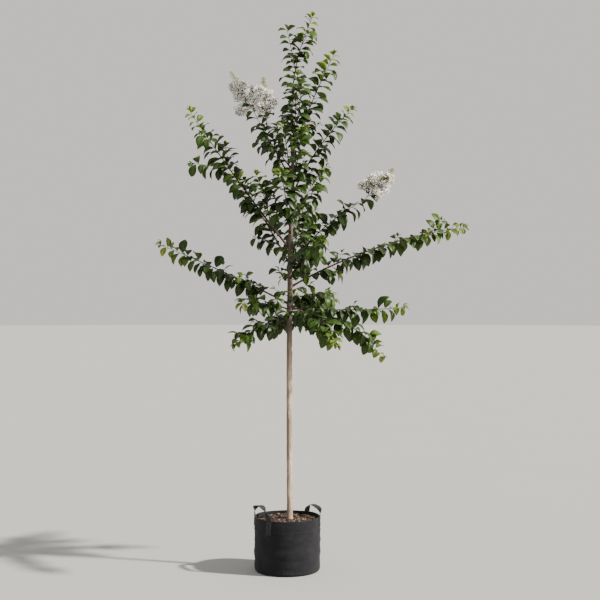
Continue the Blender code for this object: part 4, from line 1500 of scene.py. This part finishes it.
def growLeaves(line, start, size, youngShare, room, taken, rng, ages):
    # pairs along one stretch of wood, each with its age from 0, old, to 1, just unfolded
    found = []
    distance, sign = start, 1
    while distance < line.length - 0.008:
        steep = abs(line.at(distance)[1].z) > tree["steep"]
        share = distance / line.length
        newer = max(0.0, (share - leaf["youngFrom"]) / (1.0 - leaf["youngFrom"]))
        young = 1.0 - (1.0 - youngShare) * newer ** 1.4
        turn = sign * (tree["pairTurn"] if steep else tree["pairTurn"] * 0.7) * rng.uniform(0.5, 1.5)
        if not steep and rng.random() < 0.25 + 0.4 * share:
            turn = sign * rng.uniform(0.8, 1.4)
        droop = (0.30 if steep else 0.90) * (1.0 - 0.65 * share ** 2)
        age = ages[0] + (ages[1] - ages[0]) * share
        stagger = leaf["pairSpacing"] * (0.18 if steep else 0.46)
        for way in (1, -1):
            place = distance + rng.uniform(0.0, 0.006) + (stagger if way == sign else 0.0)
            length = size * young * rng.uniform(*leaf["lengths"]) * leaf["lengthened"]
            matrix = placeLeaf(line, place, way, turn, droop, length, room, taken, rng)
            if matrix:
                found.append((matrix, age))
        sign = -sign
        closer = (0.35 + 0.65 * young) * (leaf["steepSpacing"] if steep else 1.0)
        distance += leaf["pairSpacing"] * rng.uniform(0.88, 1.12) * closer
    return found


def tipLeaves(line, count, size, room, rng, age):
    # the young leaves that close a shoot, fanned about its end
    found = []
    point, tangent = line.at(line.length - 0.002)
    first = rng.uniform(0, math.tau)
    for k in range(count):
        side = Quaternion(tangent, first + k * math.tau / count) @ tangent.orthogonal()
        out = (tangent * rng.uniform(1.0, 1.8) + side.normalized() * 0.8).normalized()
        matrix = leafMatrix(point, out, size * rng.uniform(0.7, 1.15), up)
        if room.holds(leafEdge(matrix)):
            found.append((matrix, age))
    return found


# Growth of one mass: the twigs of its solid, then finer twigs between them, then leaves on all

growth = {
    "seed": 100,
    "fineSeed": 700,
    "spraySeed": 820,
    "shadeSeed": 900,
    "sprayShade": 50,         # the sprays' place in the count of shoots, for their greens
    "twigRoom": 0.0035,       # the least distance from other wood
    "twigsFrom": 0.04,
    "twigsTo": 0.75,          # of the stem's length
    "twigTries": 4,
    "fineFrom": 0.05,
    "fineTo": 0.78,
    "fineTries": 3,
    "fineSpacing": 0.105,
    "closeSpacing": {"mid_right": 0.052, "upper_left": 0.070, "upper_left_fork": 0.070,
                     "upper_right": 0.085},
    "fineReach": 0.085,
    "fineRadius": 0.0013,
    "fineTip": 0.0007,
    "fineApart": 0.042,       # between the tips of two twigs
    # the age of a shoot's last leaves, and the size of a flowering one's
    "ends": {"front_mid": 0.84, "front_top": 0.84, "front_upper": 0.86, "front_low": 0.90},
    "flowering": {"end": 0.75, "young": 0.8},
    # leaves along each kind of wood: how far up they start, their size against the full one,
    # and that of the last ones against the first
    "stem": {"from": 0.008, "size": 1.0},
    "twig": {"from": 0.024, "size": 0.80, "young": 0.5},
    "fine": {"from": 0.018, "size": 0.66, "young": 0.55},
    "spray": {"from": 0.016, "size": 0.84, "young": 0.6, "ages": (0.15, 0.85)},
    "stalk": {"from": 0.006, "size": 0.80, "young": 0.75, "ages": (0.45, 0.80), "share": 0.36},
    # leaves round each tip: how many, and their size against the full one
    "stemTip": (6, 0.42),
    "twigTip": (3, 0.36),
    "fineTips": (2, 0.34),
    "sprayTip": (3, 0.42),
}


def sideTwig(stem, distance, turn, reach, radius, tip):
    # a straight twig that leaves the stem at this distance, this far round it
    point, tangent = stem.at(distance)
    way = (tangent * 0.85 + sideOf(tangent, turn) * 0.75).normalized()
    return Line([point, point + way * reach], min(radius, 0.8 * stem.radius(distance)), tip)


def bowed(line, rng, sag=0.04):
    # the same twig with a slight bow, its ends where they were
    a, b = line.points
    run = b - a
    off = (run.orthogonal().normalized() * rng.uniform(-1, 1) + up * 0.8) * sag * run.length
    points = [a, a + run * 0.35 + off * 0.9, a + run * 0.7 + off * 0.8, b]
    return Line(points, line.rootRadius, line.tipRadius)


def growTwigs(number, name, stem, room):
    # the twigs of the mass's solid: the set forks, then those that its rule gives, each with its place
    rng = random.Random(growth["seed"] + number)
    twigs = []
    for share, bearing, rise, reach in limbs[name].forks:
        root = stem.at(share * stem.length)[0]
        fork = Line(bentPath(root, bearing, rise, rise, reach), tree["twigRadius"], tree["shootTip"])
        if room.holds([fork.at(fork.length * t)[0] for t in (0.25, 0.5, 0.75, 1.0)]):
            twigs.append((fork, share))
    distance, turn = growth["twigsFrom"], rng.uniform(0, math.tau)
    while distance < growth["twigsTo"] * stem.length:
        for attempt in range(growth["twigTries"]):
            turn += goldenAngle
            reach = tree["twigReach"] * (1.0 - 0.6 * distance / stem.length) * rng.uniform(0.8, 1.1)
            twig = sideTwig(stem, distance, turn, reach, tree["twigRadius"], tree["shootTip"])
            if room.holds([twig.at(reach * t)[0] for t in (0.3, 0.6, 0.8, 1.0)]):
                twigs.append((bowed(twig, rng), distance / stem.length))
                break
        distance += tree["twigSpacing"] * rng.uniform(0.8, 1.2)
    return twigs


def growFiner(name, stem, twigs, room, rng):
    # shorter and thinner twigs, set closer, that keep their tips apart
    finer = []
    distance, turn = growth["fineFrom"] + rng.uniform(0.0, 0.05), rng.uniform(0, math.tau)
    spacing = growth["closeSpacing"].get(name, growth["fineSpacing"])
    while distance < growth["fineTo"] * stem.length:
        for attempt in range(growth["fineTries"]):
            turn += goldenAngle
            share = distance / stem.length
            reach = growth["fineReach"] * (1.15 - 0.7 * share) * rng.uniform(0.6, 1.1)
            twig = sideTwig(stem, distance, turn, reach, growth["fineRadius"], growth["fineTip"])
            tips = [other.points[-1] for other, at in twigs + finer]
            clear = all((twig.points[1] - tip).length > growth["fineApart"] for tip in tips)
            if clear and room.holds([twig.at(reach * t)[0] for t in (0.4, 0.7, 1.0)]):
                finer.append((bowed(twig, rng), share))
                break
        distance += spacing * rng.uniform(0.7, 1.3)
    return finer


def leavesAlong(line, kind, room, taken, rng, ages, young=None):
    # pairs of leaves by the rule of this kind of wood, with its own size of the last ones if one is given
    rule = growth[kind]
    young = rule["young"] if young is None else young
    return growLeaves(line, rule["from"], leaf["length"] * rule["size"], young, room, taken, rng, ages)


def leavesRound(line, kind, room, rng, age):
    # the leaves at the tip of this kind of wood
    count, size = growth[kind]
    return tipLeaves(line, count, leaf["length"] * size, room, rng, age)


def growMass(number, name, stem, twigRoom, leafRoom):
    # the twigs, the finer twigs and the leaves of one shoot; one that flowers has no leaves at its tip
    twigs = growTwigs(number, name, stem, twigRoom)
    rng = random.Random(growth["fineSeed"] + number)
    finer = growFiner(name, stem, twigs, twigRoom, rng)
    taken = []
    if name in heads:
        end, young = growth["flowering"]["end"], growth["flowering"]["young"]
    else:
        end, young = growth["ends"].get(name, 1.0), leaf["youngShare"]
    leaves = leavesAlong(stem, "stem", leafRoom, taken, rng, (0.0, end), young)
    if name not in heads:
        leaves += leavesRound(stem, "stemTip", leafRoom, rng, end)
    for twig, share in twigs:
        leaves += leavesAlong(twig, "twig", leafRoom, taken, rng, (share * 0.5, 0.84))
        leaves += leavesRound(twig, "twigTip", leafRoom, rng, 0.86)
    for twig, share in finer:
        newest = 0.55 + share * 0.35
        leaves += leavesAlong(twig, "fine", leafRoom, taken, rng, (share * 0.6, newest))
        leaves += leavesRound(twig, "fineTips", leafRoom, rng, newest)
    return twigs, finer, leaves


def leavesBelow(head, others, room):
    # one or two pairs on the bare stalk between the last leaves of a shoot and its flowers
    taken = [matrix @ leaf["middle"] for matrix, age in others]
    rng = random.Random(growth["spraySeed"] - 1)
    rule = growth["stalk"]
    stalk = head.part(0.0, rule["share"] * head.length)
    return leavesAlong(stalk, "stalk", room, taken, rng, rule["ages"])


def shadeOf(age, rng):
    # which of the four greens a leaf takes: darkest where it is old, lime where it has just opened
    mark = age + rng.gauss(0.0, leaf["shadeNoise"])
    for number, edge in enumerate(leaf["shadeEdges"]):
        if mark < edge:
            return number
    return len(leaf["shadeEdges"])


def dealLeaves(grown):
    # gives each leaf its kind and its green
    kinds = [leafShape(*kind) for kind in leaf["kinds"]]
    piles = [Pile() for green in greens]
    counts = [0] * len(greens)
    for number, leaves in grown:
        rng = random.Random(growth["shadeSeed"] + number)
        for matrix, age in leaves:
            shape = rng.choice(kinds)
            shade = shadeOf(age, rng)
            piles[shade].addTurned(shape, matrix)
            counts[shade] += 1
    return piles, counts


def makeCrown(lines, planned, shootBark, twigBark):
    stems, bare = leafyStems(lines), bareWood(lines)
    shoots, twigWood = Pile(), Pile()
    short = planSprays()
    grown = []
    for number, (name, stem) in enumerate(stems.items()):
        others = [line for other, line in stems.items() if other != name] + list(planned.values()) + short
        twigRoom = Room(stem, others, bare, growth["twigRoom"])
        leafRoom = Room(stem, others, bare, leaf["clearance"])
        twigs, finer, leaves = growMass(number, name, stem, twigRoom, leafRoom)
        addTube(shoots, stem, wood["shootSides"], wood["ringStep"], joints=leaf["pairSpacing"],
                seed=number * 1.9)
        for k, (twig, share) in enumerate(twigs):
            addTube(twigWood, twig, wood["twigSides"], wood["ringStep"], joints=wood["twigJoints"],
                    seed=k + number * 2.3)
        for k, (twig, share) in enumerate(finer):
            addTube(twigWood, twig, wood["twigSides"] - 1, wood["fineStep"], seed=k + number * 5.1)
        if name in planned:
            head = planned[name]
            apart = [line for line in others if line is not head]
            leaves += leavesBelow(head, leaves, Room(head, apart, bare, leaf["clearance"]))
        grown.append((number, leaves))
    ages = growth["spray"]["ages"]
    for number, spray in enumerate(short):
        others = [*stems.values(), *planned.values(), *(line for line in short if line is not spray)]
        room = Room(spray, others, bare, leaf["clearance"])
        rng = random.Random(growth["spraySeed"] + number)
        leaves = leavesAlong(spray, "spray", room, [], rng, ages)
        leaves += leavesRound(spray, "sprayTip", room, rng, ages[1])
        addTube(twigWood, spray, wood["twigSides"], wood["ringStep"], collar=wood["sprayCollar"],
                seed=number * 1.3)
        grown.append((growth["sprayShade"] + number, leaves))
    piles, counts = dealLeaves(grown)
    masses = ["foliage_" + name for name in limbs]
    for (name, *look), pile in zip(greens, piles):
        nodes = masses if name == "Dark" else ()
        finishPile(pile, "leaves" + name, leafFinishes(name, *look), nodes)
    finishPile(shoots, "leafyShoots", shootBark, masses)
    finishPile(twigWood, "sideTwigs", twigBark)
    print("crown:", counts, "leaves")


# Blossom: heads of small white flowers on thin sprigs, with round buds between them and above them

blossom = {
    "seed": 300,
    "shapeSeed": 77,
    "looseSeed": 350,
    "from": 0.16,             # where the sprigs start and end, against the head's length
    "to": 0.72,
    "size": 0.031,            # the radius of a cluster at the end of a sprig
    "spacing": 0.022,
    "reach": 0.066,
    "room": 0.0035,
    "perCluster": (10, 12),
    "budsPerCluster": (2, 4),
    "flower": 0.0218,         # a flower's own radius
    "flowerKinds": 7,
    "petals": 6,
    "petalOutline": ((0.08, 0.035), (0.28, 0.06), (0.46, 0.24), (0.72, 0.34), (0.97, 0.20)),
    "crinkle": 0.125,
    "keel": 0.03,             # how far the underside of a petal hangs below its top
    "tuftKinds": 4,
    "stamens": 8,
    "thread": 0.018,
    "threadHead": 0.062,
    "bud": 0.0040,
    "budRings": ((-0.72, 0.68), (-0.05, 1.0), (0.62, 0.72)),
    "budTip": 1.22,
    "topBuds": 60,
    "topFrom": 0.56,
    "topReach": 0.060,
    # radius at the root and at the tip
    "sprig": (0.0013, 0.0008),
    "stalk": (0.0006, 0.0005),
    "topStalk": (0.0007, 0.0005),
}


def flowerShape(rng):
    # crinkled petals round the middle, each closed, with a thin underside
    points, faces = [], []
    for number in range(blossom["petals"]):
        bearing = math.tau * (number + rng.uniform(-0.16, 0.16)) / blossom["petals"]
        lift = rng.uniform(0.18, 0.62)
        c, s = math.cos(bearing), math.sin(bearing)
        base = len(points)
        for share, half in blossom["petalOutline"]:
            reach = share * rng.uniform(0.90, 1.06)
            frill = blossom["crinkle"] if share > 0.4 else 0.01
            height = lift * reach * (1.0 - 0.35 * reach)
            for y, drop in ((-half, 0.0), (0.0, 0.0), (half, 0.0), (0.0, -blossom["keel"])):
                wide = y * rng.uniform(0.85, 1.15)
                z = height + drop + (rng.uniform(-frill, frill) if drop == 0.0 else 0.0)
                points.append((reach * c - wide * s, reach * s + wide * c, z))
        high = len(points) - 4
        for low in range(base, high, 4):
            after = low + 4
            faces += [(low, after, after + 1, low + 1), (low + 1, after + 1, after + 2, low + 2)]
            faces += [(low, low + 3, after + 3, after), (low + 3, low + 2, after + 2, after + 3)]
        faces.append((base, base + 1, base + 2, base + 3))
        faces.append((high, high + 3, high + 2, high + 1))
    return np.array(points), faces


def stamenShape(rng):
    # a tuft of thin threads, each with a yellow head
    points, faces = [], []
    for number in range(blossom["stamens"]):
        lean = rng.uniform(0.05, 0.30) if number else 0.0
        bearing = rng.uniform(0, math.tau)
        top = Vector((lean * math.cos(bearing), lean * math.sin(bearing), rng.uniform(0.32, 0.46)))
        base = len(points)
        for k in range(3):
            a = math.tau * k / 3
            points.append((blossom["thread"] * math.cos(a), blossom["thread"] * math.sin(a), 0.02))
        points.append(tuple(top))
        faces += [(base, base + 1, base + 3), (base + 1, base + 2, base + 3), (base + 2, base, base + 3)]
        faces.append((base, base + 2, base + 1))
        head = len(points)
        size = blossom["threadHead"]
        corners = [(size, 0, 0), (0, size, 0), (-size, 0, 0), (0, -size, 0), (0, 0, size), (0, 0, -size)]
        points += [tuple(top + Vector(corner)) for corner in corners]
        for k in range(4):
            a, b = head + k, head + (k + 1) % 4
            faces += [(a, b, head + 4), (b, a, head + 5)]
    return np.array(points), faces


def budShape(ridges=6):
    # a round bud, faintly ribbed, with a small point
    n = ridges * 2
    points = [(0.0, 0.0, -1.0)]
    for height, girth in blossom["budRings"]:
        for k in range(n):
            a = math.tau * k / n
            reach = girth * (1.0 if k % 2 else 0.88)
            points.append((reach * math.cos(a), reach * math.sin(a), height))
    points.append((0.0, 0.0, blossom["budTip"]))
    faces = [(0, 1 + (k + 1) % n, 1 + k) for k in range(n)]
    faces += ringFaces(1, n) + ringFaces(1 + n, n)
    top = 1 + 2 * n
    faces += [(top + k, top + (k + 1) % n, top + n) for k in range(n)]
    return np.array(points), faces


def facing(centre, way, size, spin, stretch=1.0):
    # turns a shape's +Z to way, and stretches it along that
    turn = way.to_track_quat("Z", "X").to_matrix().to_4x4() @ Matrix.Rotation(spin, 4, "Z")
    return Matrix.Translation(centre) @ turn @ Matrix.Diagonal((size, size, size * stretch, 1.0))


def leaving(line, distance, turn, forward):
    # a point of the line, and the way of a sprig that leaves it there
    point, tangent = line.at(distance)
    side = Quaternion(tangent, turn) @ tangent.orthogonal().normalized()
    return point, (side + tangent * forward).normalized()


def anyWay(rng):
    return Vector([rng.gauss(0, 1) for axis in range(3)]).normalized()


def addStalk(pile, start, end, radii, seed):
    addTube(pile, Line([start, end], *radii), 4, 0.006, seed=seed)


def addFlowers(petals, stamens, buds, sprigs, shapes, centre, way, reach, radius, rng):
    # a cluster of flowers on their own stalks, each with the cup of its bud behind it, and its last buds
    flowers, tufts, bud = shapes
    count = rng.randint(*blossom["perCluster"])
    for k in range(count):
        face = (way * 0.35 + anyWay(rng) + up * 0.15).normalized()
        back = way * reach * rng.uniform(0.0, 0.35)
        place = centre - back + face * radius * rng.uniform(0.55, 0.95)
        size = blossom["flower"] * rng.uniform(0.80, 1.12)
        addStalk(sprigs, centre - way * 0.006, place - face * size * 0.2, blossom["stalk"], k)
        spin = rng.uniform(0, math.tau)
        petals.addTurned(rng.choice(flowers), facing(place, face, size, spin))
        stamens.addTurned(rng.choice(tufts), facing(place, face, size, spin))
        buds.addTurned(bud, facing(place - face * size * 0.12, face, size * 0.20, spin))
    for k in range(rng.randint(*blossom["budsPerCluster"])):
        face = (way * 0.4 + anyWay(rng)).normalized()
        place = centre + face * radius * rng.uniform(0.5, 1.0)
        addStalk(sprigs, centre - way * 0.004, place, blossom["stalk"], k)
        size = blossom["bud"] * rng.uniform(0.7, 1.15)
        buds.addTurned(bud, facing(place, face, size, 0.0, 1.1))
    return count


def addTopBuds(topBuds, sprigs, bud, head, rng):
    # the buds that close a head, smaller and closer towards its tip
    count = blossom["topBuds"]
    for k in range(count):
        above = (1.0 - blossom["topFrom"]) * (k + rng.random()) / count
        share = blossom["topFrom"] + above
        point, way = leaving(head, head.length * share, k * goldenAngle, 0.7)
        reach = blossom["topReach"] * (1.10 - share) * rng.uniform(0.5, 1.1) + 0.003
        place = point + way * reach
        addStalk(sprigs, point, place, blossom["topStalk"], k)
        size = blossom["bud"] * rng.uniform(0.75, 1.1) * (1.25 - 0.45 * share)
        topBuds.addTurned(bud, facing(place, way, size, 0.0, 1.15))


def makeBlossom(lines, planned):
    stems, bare = leafyStems(lines), bareWood(lines)
    petals, stamens, buds, topBuds, sprigs = Pile(), Pile(), Pile(), Pile(), Pile()
    drawn = random.Random(blossom["shapeSeed"])
    flowers = [flowerShape(drawn) for k in range(blossom["flowerKinds"])]
    tufts = [stamenShape(drawn) for k in range(blossom["tuftKinds"])]
    bud = budShape()
    flowerCount = 0
    for number, (name, head) in enumerate(planned.items()):
        rng = random.Random(blossom["seed"] + number)
        loose = random.Random(blossom["looseSeed"] + number)
        others = [*stems.values(), *(line for other, line in planned.items() if other != name)]
        room = Room(head, others, bare, blossom["room"])
        addTube(sprigs, head, 8, 0.006, seed=number * 4.0)
        distance, turn = blossom["from"] * head.length, rng.uniform(0, math.tau)
        while distance < blossom["to"] * head.length:
            turn += goldenAngle
            share = distance / head.length
            point, way = leaving(head, distance, turn, 0.5)
            reach = blossom["reach"] * (1.2 - share) * rng.uniform(0.85, 1.1)
            radius = blossom["size"] * rng.uniform(0.9, 1.1) * (1.1 - 0.3 * share)
            centre = point + way * reach
            ends = (way, -way, up, -up, across, -across)
            if room.holds([centre + end * radius for end in ends]):
                addTube(sprigs, Line([point, centre], *blossom["sprig"]), 5, 0.008, seed=turn)
                flowerCount += addFlowers(petals, stamens, buds, sprigs, (flowers, tufts, bud),
                                          centre, way, reach, radius, loose)
            distance += blossom["spacing"] * rng.uniform(0.85, 1.1) * (1.1 - 0.5 * share)
        addTopBuds(topBuds, sprigs, bud, head, loose)
    finishPile(petals, "petals", petalFinish(), ["blossom_" + name for name in heads])
    finishPile(stamens, "stamens", plainFinish("stamens", 500, 0.0004, 0.7))
    finishPile(buds, "buds", plainFinish("buds", 240, 0.0005, 0.5))
    finishPile(topBuds, "topBuds", plainFinish("topBuds", 240, 0.0005, 0.5))
    finishPile(sprigs, "flowerSprigs", shootFinish("sprigBark"))
    print("blossom:", flowerCount, "flowers")


# The whole tree

makeCamera()
makeStudio()
print("camera and studio ready")

makePot(feltFinish())
makeHemStitches(threadFinish("hemThread"))
loopTape = webbingFinish()
makeLoop("left", loopTape)
makeLoop("right", loopTape)
makeLoopStitches(threadFinish("loopThread"))
makeCompost(compostFinish())
makeChips()

makeTrunk(trunkFinish())
plannedLimbs = planLimbs()
plannedHeads = planHeads(plannedLimbs)
shootBark = shootFinish("shootBark")
twigBark = shootFinish("twigBark")
makeBoughs(plannedLimbs, shootBark)
makeCrown(plannedLimbs, plannedHeads, shootBark, twigBark)
makeBlossom(plannedLimbs, plannedHeads)
